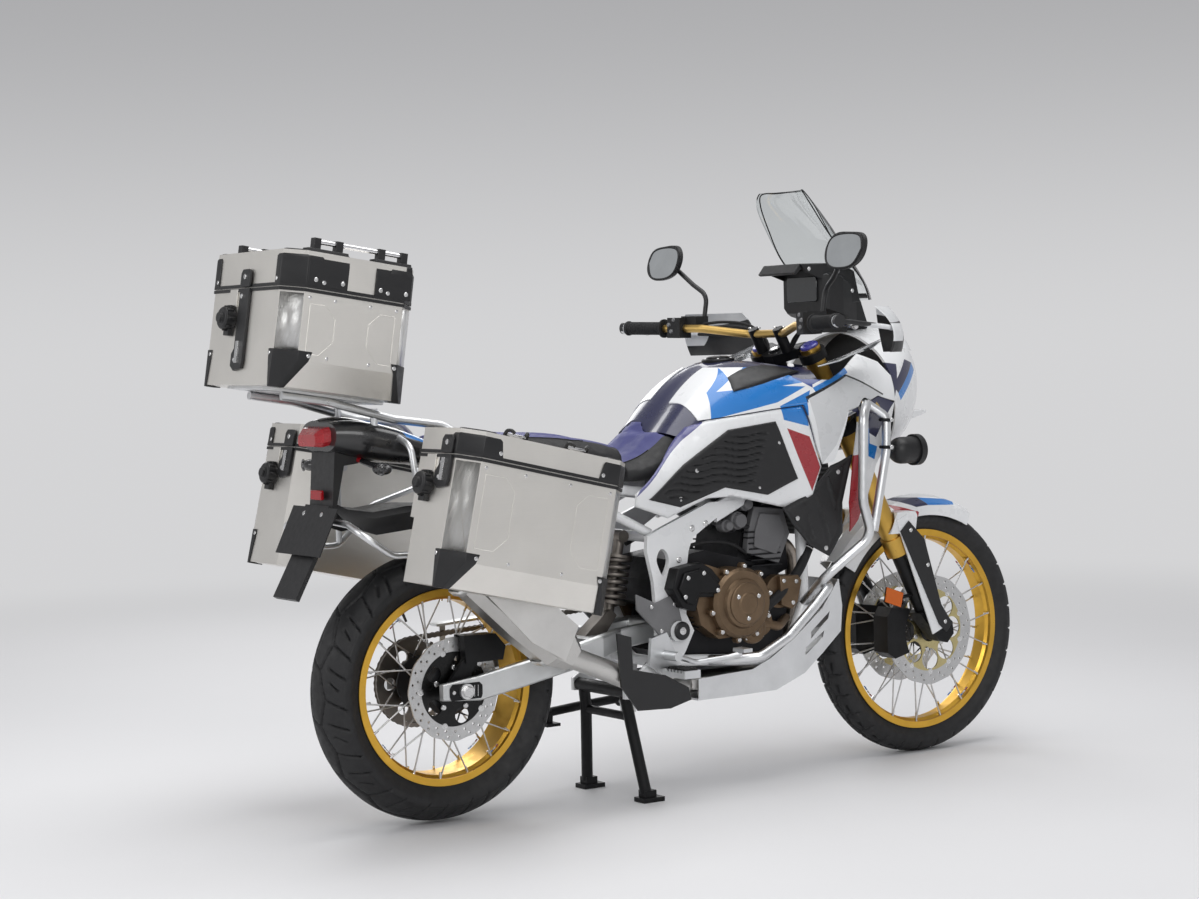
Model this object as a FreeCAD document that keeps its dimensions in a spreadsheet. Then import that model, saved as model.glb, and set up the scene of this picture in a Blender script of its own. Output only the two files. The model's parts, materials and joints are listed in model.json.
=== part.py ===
import FreeCAD, Part
import math
import os
import Sketcher
from FreeCAD import Matrix, Placement, Rotation, Vector

# Adventure motorcycle on its centre stand, with three hard cases.
# Millimetres. X forward, Y to the rider's left, Z up.
# Shapes are drawn with x = 0 at the rear axle and moved back by centre_x,
# so that the origin lies on the floor below the middle of the whole vehicle.

# Driving dimensions
SIZES = {
    "centre_x": 706.0,
    "wheelbase": 1575.0,
    "front_tyre_radius": 347.7,
    "front_tyre_width": 90.0,
    "front_rim_radius": 280.7,
    "front_rim_width": 64.0,
    "rear_tyre_radius": 333.6,
    "rear_tyre_width": 150.0,
    "rear_rim_radius": 242.6,
    "rear_rim_width": 114.0,
    "rear_wheel_lift": 5.0,
    "rim_depth": 16.0,
    "spoke_count": 36.0,
    "spoke_radius": 2.1,
    "rake": 27.5,
    "clamp_offset": 35.0,
    "axle_lead": 25.3,
    "fork_spacing": 105.0,
    "fork_tube_radius": 28.0,
    "fork_slider_radius": 21.5,
    "head_tube_radius": 32.0,
    "front_disc_radius": 155.0,
    "front_disc_offset": 62.0,
    "rear_disc_radius": 128.0,
    "rear_disc_offset": 92.0,
    "disc_thickness": 4.5,
    "front_hub_half": 52.0,
    "rear_hub_half": 80.0,
    "hub_clearance": 0.1,
    "disc_vent_count": 24.0,
    "sprocket_teeth": 42.0,
    "sprocket_thickness": 6.0,
    "sprocket_radius": 105.0,
    "chain_offset": 96.0,
    "chain_width": 15.0,
    "chain_pitch": 15.875,
    "chain_plate_thickness": 2.4,
    "chain_plate_half_height": 6.5,
    "countershaft_radius": 36.0,
    "pivot_x": 640.0,
    "pivot_z": 430.0,
    "plate_offset": 130.0,
    "plate_thickness": 14.0,
    "frame_tube_radius": 15.0,
    "bar_radius": 11.0,
    "grip_radius": 17.0,
    "guard_tube_radius": 13.0,
    "engine_half_width": 108.0,
    "cover_depth": 62.0,
    "pannier_length": 462.0,
    "pannier_outer": 512.0,
    "pannier_inner": 268.0,
    "pannier_pitch": 12.8,
    "pannier_wall": 3.0,
    "pannier_depth": 300.0,
    "recess_depth": 60.0,
    "pannier_x": -200.0,
    "pannier_z": 930.0,
    "pannier_lid_height": 60.0,
    "top_case_pitch": 8.8,
    "top_case_half_width": 212.0,
    "top_case_length": 344.0,
    "top_case_depth": 228.0,
    "top_case_x": -478.0,
    "top_case_z": 1322.0,
    "top_case_lid_height": 86.0,
    "case_corner": 43.0,
    "case_bevel_height": 62.0,
    "case_bevel_depth": 30.0,
    "lid_gap": 0.4,
    "hinge_radius": 5.0,
    "hinge_reach": 5.5,
    "hinge_pin_radius": 2.4,
    "hinge_width": 110.0,
    "hinge_gap": 0.5,
    "panel_thickness": 5.0,
    "panel_gap": 1.0,
    "seat_half_width": 150.0,
    "stand_leg_radius": 15.0,
    "centre_stand_x": 505.0,
    "centre_stand_z": 282.0,
    "side_stand_x": 664.0,
    "side_stand_y": 162.0,
    "side_stand_z": 222.0,
    "side_stand_reach": 246.0,
    "plate_hole_spacing": 90.0,
    "plate_hole_radius": 3.2,
}

doc = FreeCAD.newDocument("motorcycle")
sheet = doc.addObject("Spreadsheet::Sheet", "Sizes")
for row, (alias, value) in enumerate(SIZES.items(), start=1):
    sheet.set(f"A{row}", alias)
    sheet.set(f"B{row}", str(value))
    sheet.setAlias(f"B{row}", alias)
doc.recompute()


def size(alias):
    return float(sheet.get(alias))


NODES = []
DRAWN = {}


def node(label, shape):
    """One sub-part: a shape drawn from the rear axle and moved to the vehicle's frame."""
    DRAWN[label] = shape
    item = doc.addObject("Part::Feature", label)
    item.Label = label
    item.Shape = Part.makeCompound(shape.Solids)
    item.setExpression("Placement.Base.x", "-Sizes.centre_x")
    NODES.append(item)
    return item


def keep(item, label):
    """Makes a document object that is already in place one of the sub-parts."""
    item.Label = label
    doc.recompute()
    NODES.append(item)
    return item


# Bodies, sketches and features

def bind(item, name, value):
    """Sets a property from a number, or ties it to the sheet when the value is text."""
    if isinstance(value, str):
        item.setExpression(name, value)
    else:
        setattr(item, name, value)


def place(item, **ties):
    """Ties the coordinates of an object's place to the sheet."""
    for axis, text in ties.items():
        item.setExpression(f"Placement.Base.{axis}", text)
    return item


def new_body(label):
    return doc.addObject("PartDesign::Body", label)


def draw(body, name, role, loops, lift=0.0):
    """A sketch on an origin plane. A loop is a list of corners, a circle (x, y, radius) or a curve."""
    sketch = body.newObject("Sketcher::SketchObject", f"{body.Name}_{name}")
    plane = next(item for item in body.Origin.OriginFeatures if item.Role == role)
    sketch.AttachmentSupport = [(plane, "")]
    sketch.MapMode = "FlatFace"
    sketch.AttachmentOffset = Placement(Vector(0, 0, lift), Rotation())
    for loop in loops:
        if isinstance(loop, tuple):
            x, y, radius = loop
            sketch.addGeometry(Part.Circle(Vector(x, y, 0), Vector(0, 0, 1), radius))
        elif isinstance(loop, list):
            corners = [Vector(x, y, 0) for x, y in loop]
            lines = [Part.LineSegment(a, b) for a, b in zip(corners, corners[1:] + corners[:1])]
            first = sketch.GeometryCount
            sketch.addGeometry(lines, False)
            count = len(lines)
            sketch.addConstraint([Sketcher.Constraint("Coincident", first + i, 2, first + (i + 1) % count, 1)
                                  for i in range(count)])
        else:
            sketch.addGeometry(loop)
    return sketch


def pad(body, sketch, length, reverse=False):
    feature = body.newObject("PartDesign::Pad", f"{sketch.Name}_pad")
    feature.Profile = sketch
    bind(feature, "Length", length)
    feature.Reversed = reverse
    return feature


def pocket(body, sketch, length=None, reverse=False):
    """A cut from a sketch, through everything when no length is given."""
    doc.recompute()
    before = body.Shape.Volume
    feature = body.newObject("PartDesign::Pocket", f"{sketch.Name}_cut")
    feature.Profile = sketch
    if length is None:
        feature.Type = "ThroughAll"
    else:
        bind(feature, "Length", length)
    feature.Reversed = reverse
    doc.recompute()
    if body.Shape.Volume > before - 1.0:
        raise RuntimeError(f"{feature.Name} cuts nothing")
    return feature


def repeat(body, feature, sketch, count):
    """Copies of a feature evenly round the sketch's normal."""
    pattern = body.newObject("PartDesign::PolarPattern", f"{feature.Name}_ring")
    pattern.Originals = [feature]
    pattern.Axis = (sketch, ["N_Axis"])
    pattern.Angle = 360
    bind(pattern, "Occurrences", count)
    body.Tip = pattern
    return pattern


def turned(label, profile):
    """A body turned round the Y axis from a profile of (y, radius) points and curves."""
    body = new_body(label)
    sketch = draw(body, "profile", "YZ_Plane", [profile])
    turn = body.newObject("PartDesign::Revolution", f"{label}_turn")
    turn.Profile = sketch
    turn.ReferenceAxis = (sketch, ["H_Axis"])
    turn.Angle = 360
    return body


def joined(label, items):
    """A union of document objects."""
    union = doc.addObject("Part::MultiFuse", label)
    union.Shapes = items
    return union


def shell(body, wall, height):
    """Hollows a body through its flat face at a height, with walls of one thickness."""
    doc.recompute()
    tip = body.Tip
    faces = tip.Shape.Faces
    mouth = max((i for i, face in enumerate(faces) if abs(face.BoundBox.ZMax - height) < 0.01
                 and face.BoundBox.ZLength < 0.01), key=lambda i: faces[i].Area)
    hollow = body.newObject("PartDesign::Thickness", f"{body.Name}_wall")
    hollow.Base = (tip, [f"Face{mouth + 1}"])
    hollow.Mode = "Skin"
    hollow.Join = "Intersection"
    hollow.Reversed = True
    bind(hollow, "Value", wall)
    doc.recompute()
    if body.Shape.Volume > tip.Shape.Volume * 0.5:
        raise RuntimeError(f"{body.Label} isn't hollow")
    return hollow


# Shape helpers

def fuse(shapes):
    shapes = list(shapes)
    if len(shapes) == 1:
        return shapes[0]
    return shapes[0].multiFuse(shapes[1:]).removeSplitter()


def mirrored(shape):
    return shape.mirror(Vector(), Vector(0, 1, 0))


def rod(start, end, radius):
    start = Vector(*start)
    end = Vector(*end)
    return Part.makeCylinder(radius, (end - start).Length, start, end - start)


def ring(centre, axis, outer, inner, width):
    """A washer centred on a point."""
    axis = Vector(*axis)
    base = Vector(*centre) - axis * (width / 2)
    return Part.makeCylinder(outer, width, base, axis).cut(
        Part.makeCylinder(inner, width, base, axis))


def disc_y(x, y0, y1, z, radius):
    return Part.makeCylinder(radius, y1 - y0, Vector(x, y0, z), Vector(0, 1, 0))


def path(points, bend):
    """Straight runs joined by tangent arcs of at most the given bend radius."""
    points = [Vector(*p) for p in points]
    edges = []
    here = points[0]
    for i in range(1, len(points) - 1):
        corner = points[i]
        back = (points[i - 1] - corner)
        ahead = (points[i + 1] - corner)
        room = 0.45 * min(back.Length, ahead.Length)
        back.normalize()
        ahead.normalize()
        half = back.getAngle(ahead) / 2
        reach = min(room, bend / math.tan(half))
        radius = reach * math.tan(half)
        start = corner + back * reach
        end = corner + ahead * reach
        bisector = (back + ahead).normalize()
        middle = corner + bisector * (radius / math.sin(half) - radius)
        edges.append(Part.LineSegment(here, start).toShape())
        edges.append(Part.Arc(start, middle, end).toShape())
        here = end
    edges.append(Part.LineSegment(here, points[-1]).toShape())
    return Part.Wire(edges)


def tube(points, radius, bend=60.0):
    """A round bar along a bent path."""
    route = path(points, bend)
    direction = Vector(*points[1]) - Vector(*points[0])
    circle = Part.Wire(Part.makeCircle(radius, Vector(*points[0]), direction))
    return route.makePipeShell([circle], True, False)


def outline(points, plane_y=0.0):
    """A closed wire from side-view points, given as (x, z)."""
    corners = [Vector(x, plane_y, z) for x, z in points]
    return Part.makePolygon(corners + corners[:1])


def prism(points, y0, y1):
    """A side-view outline given thickness between two y values."""
    low, high = sorted((y0, y1))
    return Part.Face(outline(points, low)).extrude(Vector(0, high - low, 0))


def spline_prism(points, y0, y1):
    """As prism, with a smooth closed curve through the points."""
    curve = Part.BSplineCurve()
    curve.interpolate([Vector(x, y0, z) for x, z in points], PeriodicFlag=True)
    return Part.Face(Part.Wire(curve.toShape())).extrude(Vector(0, y1 - y0, 0))


def slab(low, high):
    low = Vector(*low)
    return Part.makeBox(*(Vector(*high) - low), low)


def octagon(half_y, half_z, cut):
    """Corner points of a rectangle with its corners cut off."""
    return [(half_y, -half_z + cut), (half_y, half_z - cut), (half_y - cut, half_z),
            (-half_y + cut, half_z), (-half_y, half_z - cut), (-half_y, -half_z + cut),
            (-half_y + cut, -half_z), (half_y - cut, -half_z)]


def beam(stations, cut=0.3):
    """A bar through (x, y, z, half_y, half_z) stations whose sections face along X."""
    wires = []
    for x, y, z, half_y, half_z in stations:
        corner = cut * min(half_y, half_z)
        points = [Vector(x, y + a, z + b) for a, b in octagon(half_y, half_z, corner)]
        wires.append(Part.makePolygon(points + points[:1]))
    return Part.makeLoft(wires, True, True)


def smooth_wire(points):
    curve = Part.BSplineCurve()
    curve.interpolate(points, PeriodicFlag=True)
    return Part.Wire(curve.toShape())


def crowned_section(x, half):
    """A closed smooth section at x through half-section points (y, z), top to bottom."""
    right = [Vector(x, y, z) for y, z in half]
    left = [Vector(x, -y, z) for y, z in reversed(half) if y > 0]
    return smooth_wire(right + left)


def smooth_loft(sections):
    return Part.makeLoft(sections, True, False)


def revolve_y(profile, x, z, angle=360.0, start=0.0):
    """A profile of (y, radius) points turned round a line along Y through x, z."""
    points = [Vector(x, y, z + r) for y, r in profile]
    face = Part.Face(Part.makePolygon(points + points[:1]))
    face.rotate(Vector(x, 0, z), Vector(0, 1, 0), start)
    return face.revolve(Vector(x, 0, z), Vector(0, 1, 0), angle)


# Steering line

REAR_AXLE_Z = size("rear_tyre_radius") + size("rear_wheel_lift")
FRONT_AXLE_Z = size("front_tyre_radius")
WHEELBASE = size("wheelbase")
RAKE = math.radians(size("rake"))
TRAIL_BACK = (size("clamp_offset") + size("axle_lead")) / math.cos(RAKE)
LEG_AHEAD = size("clamp_offset") / math.cos(RAKE)
STEER_UP = Vector(-math.sin(RAKE), 0, math.cos(RAKE))
STEER_AHEAD = Vector(math.cos(RAKE), 0, math.sin(RAKE))


def steer_x(z):
    """Where the steering axis is at a height."""
    return WHEELBASE - TRAIL_BACK - (z - FRONT_AXLE_Z) * math.tan(RAKE)


def on_axis(z, y=0.0):
    return Vector(steer_x(z), y, z)


def on_leg(z, side=-1):
    return Vector(steer_x(z) + LEG_AHEAD, side * size("fork_spacing"), z)


def leg_piece(z_low, z_high, radius, side):
    start = on_leg(z_low, side)
    return Part.makeCylinder(radius, (on_leg(z_high, side) - start).Length, start, STEER_UP)


# Wheels

def on_front_axle(item):
    return place(item, x="Sizes.wheelbase - Sizes.centre_x", z="Sizes.front_tyre_radius")


def on_rear_axle(item):
    return place(item, x="-Sizes.centre_x", z="Sizes.rear_tyre_radius + Sizes.rear_wheel_lift")


def tyre(label, radius, width, rim_radius, rim_width, crown):
    """A hollow tyre: bead, outer side, tread crown and inner cavity, turned about the axle."""
    half = width / 2
    bead = rim_width / 2 - 4.4
    bead_r = rim_radius - 10.2
    depth = radius - rim_radius
    wall = 8.0
    outer = [(bead, bead_r), (bead + 0.3, rim_radius + 1), (half - 1.5, rim_radius + 0.36 * depth),
             (half, rim_radius + 0.55 * depth), (half - 3, radius - crown * 0.85)]
    shoulder = [(half * 0.9, radius - crown * 0.70), (half * 0.72, radius - crown * 0.42),
                (half * 0.55, radius - crown * 0.235), (half * 0.38, radius - crown * 0.11),
                (half * 0.19, radius - crown * 0.028)]
    inner = [(half * 0.38, radius - crown * 0.11 - wall - 4), (half * 0.7, radius - crown * 0.5 - wall),
             (half - wall, rim_radius + 0.5 * depth), (bead - wall, bead_r + 6), (bead - wall, bead_r)]
    profile = outer + shoulder + [(0, radius)]
    profile += [(-y, r) for y, r in reversed(outer + shoulder)]
    profile += [(-y, r) for y, r in reversed(inner)]
    profile += [(0, radius - wall - 4)]
    profile += inner
    return turned(label, profile)


def rim(label, rim_radius, rim_width):
    """A spoked rim: flanges with an outer lip, bead seats and a drop centre."""
    half = rim_width / 2
    seat = rim_radius - 10.7
    low = rim_radius - 10 - size("rim_depth")
    side = [(half, rim_radius), (half, seat - 7), (half - 9, seat - 8), (half - 16, low)]
    well = [(half - 4, rim_radius), (half - 4, seat), (half - 13, seat - 1), (half - 20, seat - 6)]
    profile = side + [(-y, r) for y, r in reversed(side)]
    profile += [(-y, r) for y, r in well] + list(reversed(well))
    return turned(label, profile)


def hub_with_spokes(label, half, flange_radius, barrel_radius, rim_half, rim_radius):
    """A waisted hub with two flanges, and crossed spokes out to the edges of the rim."""
    bore = 12.6
    flange = 14.0
    side = [(half, bore), (half, flange_radius - 8), (half - 8, flange_radius),
            (half - flange, flange_radius), (half - flange - 3, barrel_radius)]
    barrel = turned(f"{label}_barrel", side + [(-y, r) for y, r in reversed(side)])
    count = int(size("spoke_count"))
    lean_angle = math.radians(38)
    hub_half = half - flange + 3
    hub_radius = flange_radius - 6
    bars = []
    for i in range(count):
        side = 1 if i % 2 else -1
        lean = 1 if (i // 2) % 2 else -1
        outer = math.radians(360.0 * (i + 0.5) / count)
        inner = outer + lean * lean_angle
        start = Vector(hub_radius * math.cos(inner), side * hub_half, hub_radius * math.sin(inner))
        end = Vector(rim_radius * math.cos(outer), side * rim_half, rim_radius * math.sin(outer))
        spoke = doc.addObject("Part::Cylinder", f"{label}_spoke_{i + 1}")
        spoke.setExpression("Radius", "Sizes.spoke_radius")
        spoke.Height = (end - start).Length
        spoke.Placement = Placement(start, Rotation(Vector(0, 0, 1), end - start))
        bars.append(spoke)
    return joined(label, [barrel] + bars)


def brake_disc(label, outer, inner, bore, windows, boss_radius, boss, inward):
    """A waved, drilled ring on a carrier with round windows and a boss that seats on the hub.

    The outer face lies in the body's XZ plane. The boss reaches inward, to the hub.
    """
    body = new_body(label)
    thick = size("disc_thickness")
    wave = 1.3
    wave_count = 12
    points = []
    for i in range(wave_count * 4):
        angle = 2 * math.pi * i / (wave_count * 4)
        radius = outer - wave * (1 - math.cos(wave_count * angle))
        points.append(Vector(radius * math.cos(angle), radius * math.sin(angle), 0))
    edge = Part.BSplineCurve()
    edge.interpolate(points, PeriodicFlag=True)
    ring_sketch = draw(body, "ring", "XZ_Plane", [edge, (0, 0, inner)])
    pad(body, ring_sketch, "Sizes.disc_thickness")
    vent = draw(body, "vents", "XZ_Plane", [(inner + (outer - inner) * 0.3, 0, 3.4),
                                            ((inner + (outer - inner) * 0.68) * math.cos(0.09),
                                             (inner + (outer - inner) * 0.68) * math.sin(0.09), 3.4)])
    repeat(body, pocket(body, vent, reverse=True), ring_sketch, "Sizes.disc_vent_count")
    carrier_sketch = draw(body, "carrier", "XZ_Plane", [(0, 0, inner + 3), (0, 0, bore)])
    pad(body, carrier_sketch, thick - 0.5)
    middle = (inner + boss_radius) / 2
    window = draw(body, "windows", "XZ_Plane", [(middle, 0, (inner - boss_radius) / 2 - 5)])
    repeat(body, pocket(body, window, reverse=True), ring_sketch, windows)
    boss_sketch = draw(body, "boss", "XZ_Plane", [(0, 0, boss_radius), (0, 0, bore)])
    pad(body, boss_sketch, boss, reverse=inward > 0)
    return body


def sprocket(label):
    """Teeth round a plate with windows, and a boss that seats on the hub."""
    body = new_body(label)
    teeth = int(size("sprocket_teeth"))
    pitch_r = size("sprocket_radius")
    bore = 34.0
    edge = []
    for i in range(teeth):
        for step, radius in ((0.0, pitch_r + 3), (0.3, pitch_r + 3), (0.45, pitch_r - 3), (0.65, pitch_r - 4.5),
                             (0.85, pitch_r - 3)):
            angle = 2 * math.pi * (i + step) / teeth
            edge.append((radius * math.cos(angle), radius * math.sin(angle)))
    plate = draw(body, "teeth", "XZ_Plane", [edge, (0, 0, bore)])
    pad(body, plate, "Sizes.sprocket_thickness")
    window = draw(body, "windows", "XZ_Plane", [(74, 0, 16)])
    repeat(body, pocket(body, window, reverse=True), plate, 6)
    boss = draw(body, "boss", "XZ_Plane", [(0, 0, 50), (0, 0, bore)])
    pad(body, boss, "Sizes.chain_offset + Sizes.sprocket_thickness / 2 - Sizes.rear_hub_half - Sizes.hub_clearance")
    return body


def build_front_wheel():
    radius, rim_r = size("front_tyre_radius"), size("front_rim_radius")
    rim_w = size("front_rim_width")
    keep(on_front_axle(tyre("front_tyre", radius, size("front_tyre_width"), rim_r, rim_w, 24.0)), "front_tyre")
    keep(on_front_axle(rim("front_rim", rim_r, rim_w)), "front_rim")
    hub = hub_with_spokes("front_hub", size("front_hub_half"), 52.0, 26.0, rim_w / 2 - 7, rim_r - 19.4)
    keep(on_front_axle(hub), "front_hub")
    boss = "Sizes.front_disc_offset + Sizes.disc_thickness / 2 - Sizes.front_hub_half - Sizes.hub_clearance"
    left = brake_disc("left_front_disc", size("front_disc_radius"), 118.0, 34.0, 8, 48.0, boss, -1)
    place(left, y="Sizes.front_disc_offset + Sizes.disc_thickness / 2")
    right = doc.addObject("Part::Mirroring", "right_front_disc")
    right.Source = left
    right.Normal = (0, 1, 0)
    pair = doc.addObject("Part::Compound", "front_discs")
    pair.Links = [left, right]
    keep(on_front_axle(pair), "front_discs")


def build_rear_wheel():
    radius, rim_r = size("rear_tyre_radius"), size("rear_rim_radius")
    rim_w = size("rear_rim_width")
    keep(on_rear_axle(tyre("rear_tyre", radius, size("rear_tyre_width"), rim_r, rim_w, 46.0)), "rear_tyre")
    keep(on_rear_axle(rim("rear_rim", rim_r, rim_w)), "rear_rim")
    hub = hub_with_spokes("rear_hub", size("rear_hub_half"), 68.0, 38.0, rim_w / 2 - 7, rim_r - 19.4)
    keep(on_rear_axle(hub), "rear_hub")
    boss = "Sizes.rear_disc_offset - Sizes.disc_thickness / 2 - Sizes.rear_hub_half - Sizes.hub_clearance"
    disc = brake_disc("rear_disc", size("rear_disc_radius"), 94.0, 28.0, 5, 44.0, boss, 1)
    place(disc, y="-Sizes.rear_disc_offset + Sizes.disc_thickness / 2")
    keep(on_rear_axle(disc), "rear_disc")
    ring_gear = sprocket("rear_sprocket")
    place(ring_gear, y="Sizes.chain_offset + Sizes.sprocket_thickness / 2")
    keep(on_rear_axle(ring_gear), "rear_sprocket")


# Front fork and steering

def build_fork():
    spacing = size("fork_spacing")
    tube_r = size("fork_tube_radius")
    clamp_parts = []
    for z, thick, half in ((1128.0, 26.0, 22.0), (932.0, 34.0, 24.0)):
        base = on_axis(z) - STEER_UP * (thick / 2)
        front = size("clamp_offset")
        edge = [(-30, 20), (front - 26, spacing - 30), (front - 12, spacing), (front + 16, spacing),
                (front + half - 4, spacing - 34), (front + half - 16, 40)]
        corners = [Vector(a, y, 0) for a, y in edge] + [Vector(a, -y, 0) for a, y in reversed(edge)]
        bar = Part.Face(Part.makePolygon(corners + corners[:1])).extrude(Vector(0, 0, thick))
        bar.Placement = Placement(base, Rotation(Vector(0, 1, 0), -size("rake")))
        ends = []
        for side in (-1, 1):
            centre = on_leg(z, side)
            ends.append(Part.makeCylinder(tube_r + 9, thick, centre - STEER_UP * (thick / 2), STEER_UP))
        block = fuse([bar] + ends)
        for side in (-1, 1):
            centre = on_leg(z, side)
            block = block.cut(Part.makeCylinder(tube_r + 0.1, 90, centre - STEER_UP * 45, STEER_UP))
        block = block.cut(Part.makeCylinder(size("head_tube_radius") * 0.5, 90,
                                            on_axis(z) - STEER_UP * 45, STEER_UP))
        clamp_parts.append(block)
    stem_low = on_axis(932.0) - STEER_UP * 22
    stem = Part.makeCylinder(size("head_tube_radius") * 0.5 - 0.1, (on_axis(1128.0) - on_axis(932.0)).Length + 44,
                             stem_low, STEER_UP)
    collars = [Part.makeCylinder(size("head_tube_radius") * 0.5 + 1.7, 18, on_axis(z), STEER_UP)
               for z in (958.0, 1072.0)]
    risers = []
    for side in (-1, 1):
        foot = on_axis(1128.0) + STEER_UP * 13 + Vector(0, side * 53, 0)
        risers.append(Part.makeCylinder(15, 70, foot, STEER_UP))
    clamps = fuse(clamp_parts + [stem] + collars + risers)
    node("triple_clamps", clamps.cut(tube(bar_points(), size("bar_radius") + 0.1, 45.0)))

    uppers = []
    lowers = []
    for side in (-1, 1):
        upper = leg_piece(575.0, 1150.0, tube_r, side)
        cap_low = leg_piece(575.0, 622.0, tube_r + 4, side)
        upper = upper.fuse(cap_low)
        upper = upper.cut(leg_piece(560.0, 700.0, size("fork_slider_radius") + 0.1, side))
        uppers.append(upper)
        slider = leg_piece(380.0, 690.0, size("fork_slider_radius"), side)
        foot_top = on_leg(408.0, side)
        y = side * spacing
        foot = prism([(foot_top.x - 32, 404), (foot_top.x + 24, 424), (WHEELBASE + 26, FRONT_AXLE_Z + 26),
                      (WHEELBASE + 30, FRONT_AXLE_Z - 8), (WHEELBASE + 6, FRONT_AXLE_Z - 32),
                      (WHEELBASE - 24, FRONT_AXLE_Z - 24)], y - 26, y + 26)
        lowers.append(fuse([slider, foot]))
    node("fork_uppers", Part.makeCompound(uppers))
    axle = disc_y(WHEELBASE, -spacing, spacing, FRONT_AXLE_Z, 12.4)
    sleeves = [disc_y(WHEELBASE, 52.3, spacing, FRONT_AXLE_Z, 17),
               disc_y(WHEELBASE, -spacing, -52.3, FRONT_AXLE_Z, 17)]
    calipers = []
    for side in (-1, 1):
        y = side * size("front_disc_offset")
        outline_pts = [(1392, 400), (1410, 424), (1470, 416), (1500, 384), (1500, 330), (1478, 296),
                       (1420, 282), (1392, 300)]
        shift = WHEELBASE - 1575.0
        outline_pts = [(px + shift, pz) for px, pz in outline_pts]
        block = prism(outline_pts, y - side * 24, y + side * 34)
        slot = ring((WHEELBASE, y, FRONT_AXLE_Z), (0, 1, 0), size("front_disc_radius") + 3, 112,
                    size("disc_thickness") + 5)
        block = block.cut(slot)
        block = block.cut(disc_y(WHEELBASE, y - 60, y + 60, FRONT_AXLE_Z, 116))
        calipers.append(block)
    node("fork_lowers", fuse(lowers + [axle] + sleeves + calipers))


def build_front_mudguard():
    radius = size("front_tyre_radius") + 20
    half = 62.0
    skin = 4.0
    arch = [(half, radius - 46), (half - 6, radius - 12), (half - 26, radius + 4), (0, radius + 12)]
    inner = [(half - skin, radius - 46), (half - 6 - skin, radius - 12), (half - 28, radius), (0, radius + 12 - skin)]
    profile = arch + [(-y, r) for y, r in reversed(arch[:-1])]
    profile += [(-y, r) for y, r in inner[:-1]] + list(reversed(inner))
    guard = revolve_y(profile, WHEELBASE, FRONT_AXLE_Z, 84.0, -56.0)
    bracket = []
    spacing = size("fork_spacing")
    for side in (-1, 1):
        y = side * (spacing + size("fork_tube_radius") + 5)
        low = on_leg(360.0)
        high = on_leg(650.0)
        shield = prism([(low.x - 22, 345), (low.x + 44, 372), (high.x + 74, 600), (high.x + 62, 690),
                        (high.x + 4, 668), (high.x + 30, 600)], y + side * 0.5, y + side * 4)
        ear = prism([(high.x - 16, 632), (high.x + 74, 632), (high.x + 84, 690), (high.x + 10, 690)],
                    side * (half - skin), side * (spacing + size("fork_tube_radius") + 6))
        ear = ear.cut(leg_piece(540.0, 760.0, size("fork_tube_radius") + 4.5, side))
        ear = ear.cut(Part.makeBox(300, 2 * (half - 1), 300, Vector(1200, -half + 1, 500)))
        bracket += [shield, ear]
    node("front_mudguard", fuse([guard] + bracket))


GRIP_END = (932, 457, 1214)
BAR_BEND = (1003, 205, 1207)
BAR_CLAMP = (1068, 73, 1188)


def bar_points():
    """The handlebar from the right grip's end to the left one's."""
    left = [BAR_CLAMP, BAR_BEND, GRIP_END]
    return [(x, -y, z) for x, y, z in reversed(left)] + left


def build_handlebar():
    grip_end = GRIP_END
    inner = BAR_BEND
    bar = tube(bar_points(), size("bar_radius"), 45.0)
    node("handlebar", bar)
    controls = []
    guards = []
    mirrors = []
    for side in (-1, 1):
        end = Vector(grip_end[0], side * grip_end[1], grip_end[2])
        start = Vector(inner[0], side * inner[1], inner[2])
        along = (end - start).normalize()
        bore = Part.makeCylinder(size("bar_radius") + 0.1, 320, end + along * 5, along * -1)
        grip = Part.makeCylinder(size("grip_radius"), 125, end - along * 128, along)
        flange = Part.makeCylinder(size("grip_radius") + 9, 5, end - along * 131, along)
        box_at = end - along * 180
        house = slab((-24, -22, -26), (28, 22, 30))
        house.Placement = Placement(box_at, Rotation(Vector(0, 1, 0), along * side))
        master = slab((6, -18, -2), (62, 34, 34))
        master.Placement = Placement(box_at + along * -38, Rotation(Vector(0, 1, 0), along * side))
        lever_root = box_at + along * -30 + Vector(40, 0, 6)
        lever_tip = end + Vector(62, -side * 4, -14)
        lever = tube([tuple(lever_root), tuple((lever_root + lever_tip) * 0.5 + Vector(16, 0, 0)),
                      tuple(lever_tip)], 5.5, 90.0)
        controls.append(fuse([grip, flange, house, master, lever]).cut(bore))
        shell = smooth_guard(side)
        mount = tube([tuple(end + along * 14), (1010, side * 470, 1206), (1120, side * 440, 1196),
                      (1221, side * 350, 1190)], 6.5, 34.0)
        cap = Part.makeCylinder(size("grip_radius") - 1, 20, end + along * 0.3, along)
        guards.append(fuse([shell, mount, cap]))
        stem_base = (1050, side * 258, 1228)
        head = Vector(1012, side * 392, 1392)
        stem = tube([stem_base, (1062, side * 258, 1300), (1052, side * 306, 1330),
                     (1034, side * 362, 1378)], 6.5, 40.0)
        pod = mirror_pod(side, head)
        mirrors.append(fuse([stem, pod]).cut(controls[-1]))
    node("hand_controls", Part.makeCompound(controls))
    node("handguards", Part.makeCompound(guards))
    node("mirrors", Part.makeCompound(mirrors))


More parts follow.
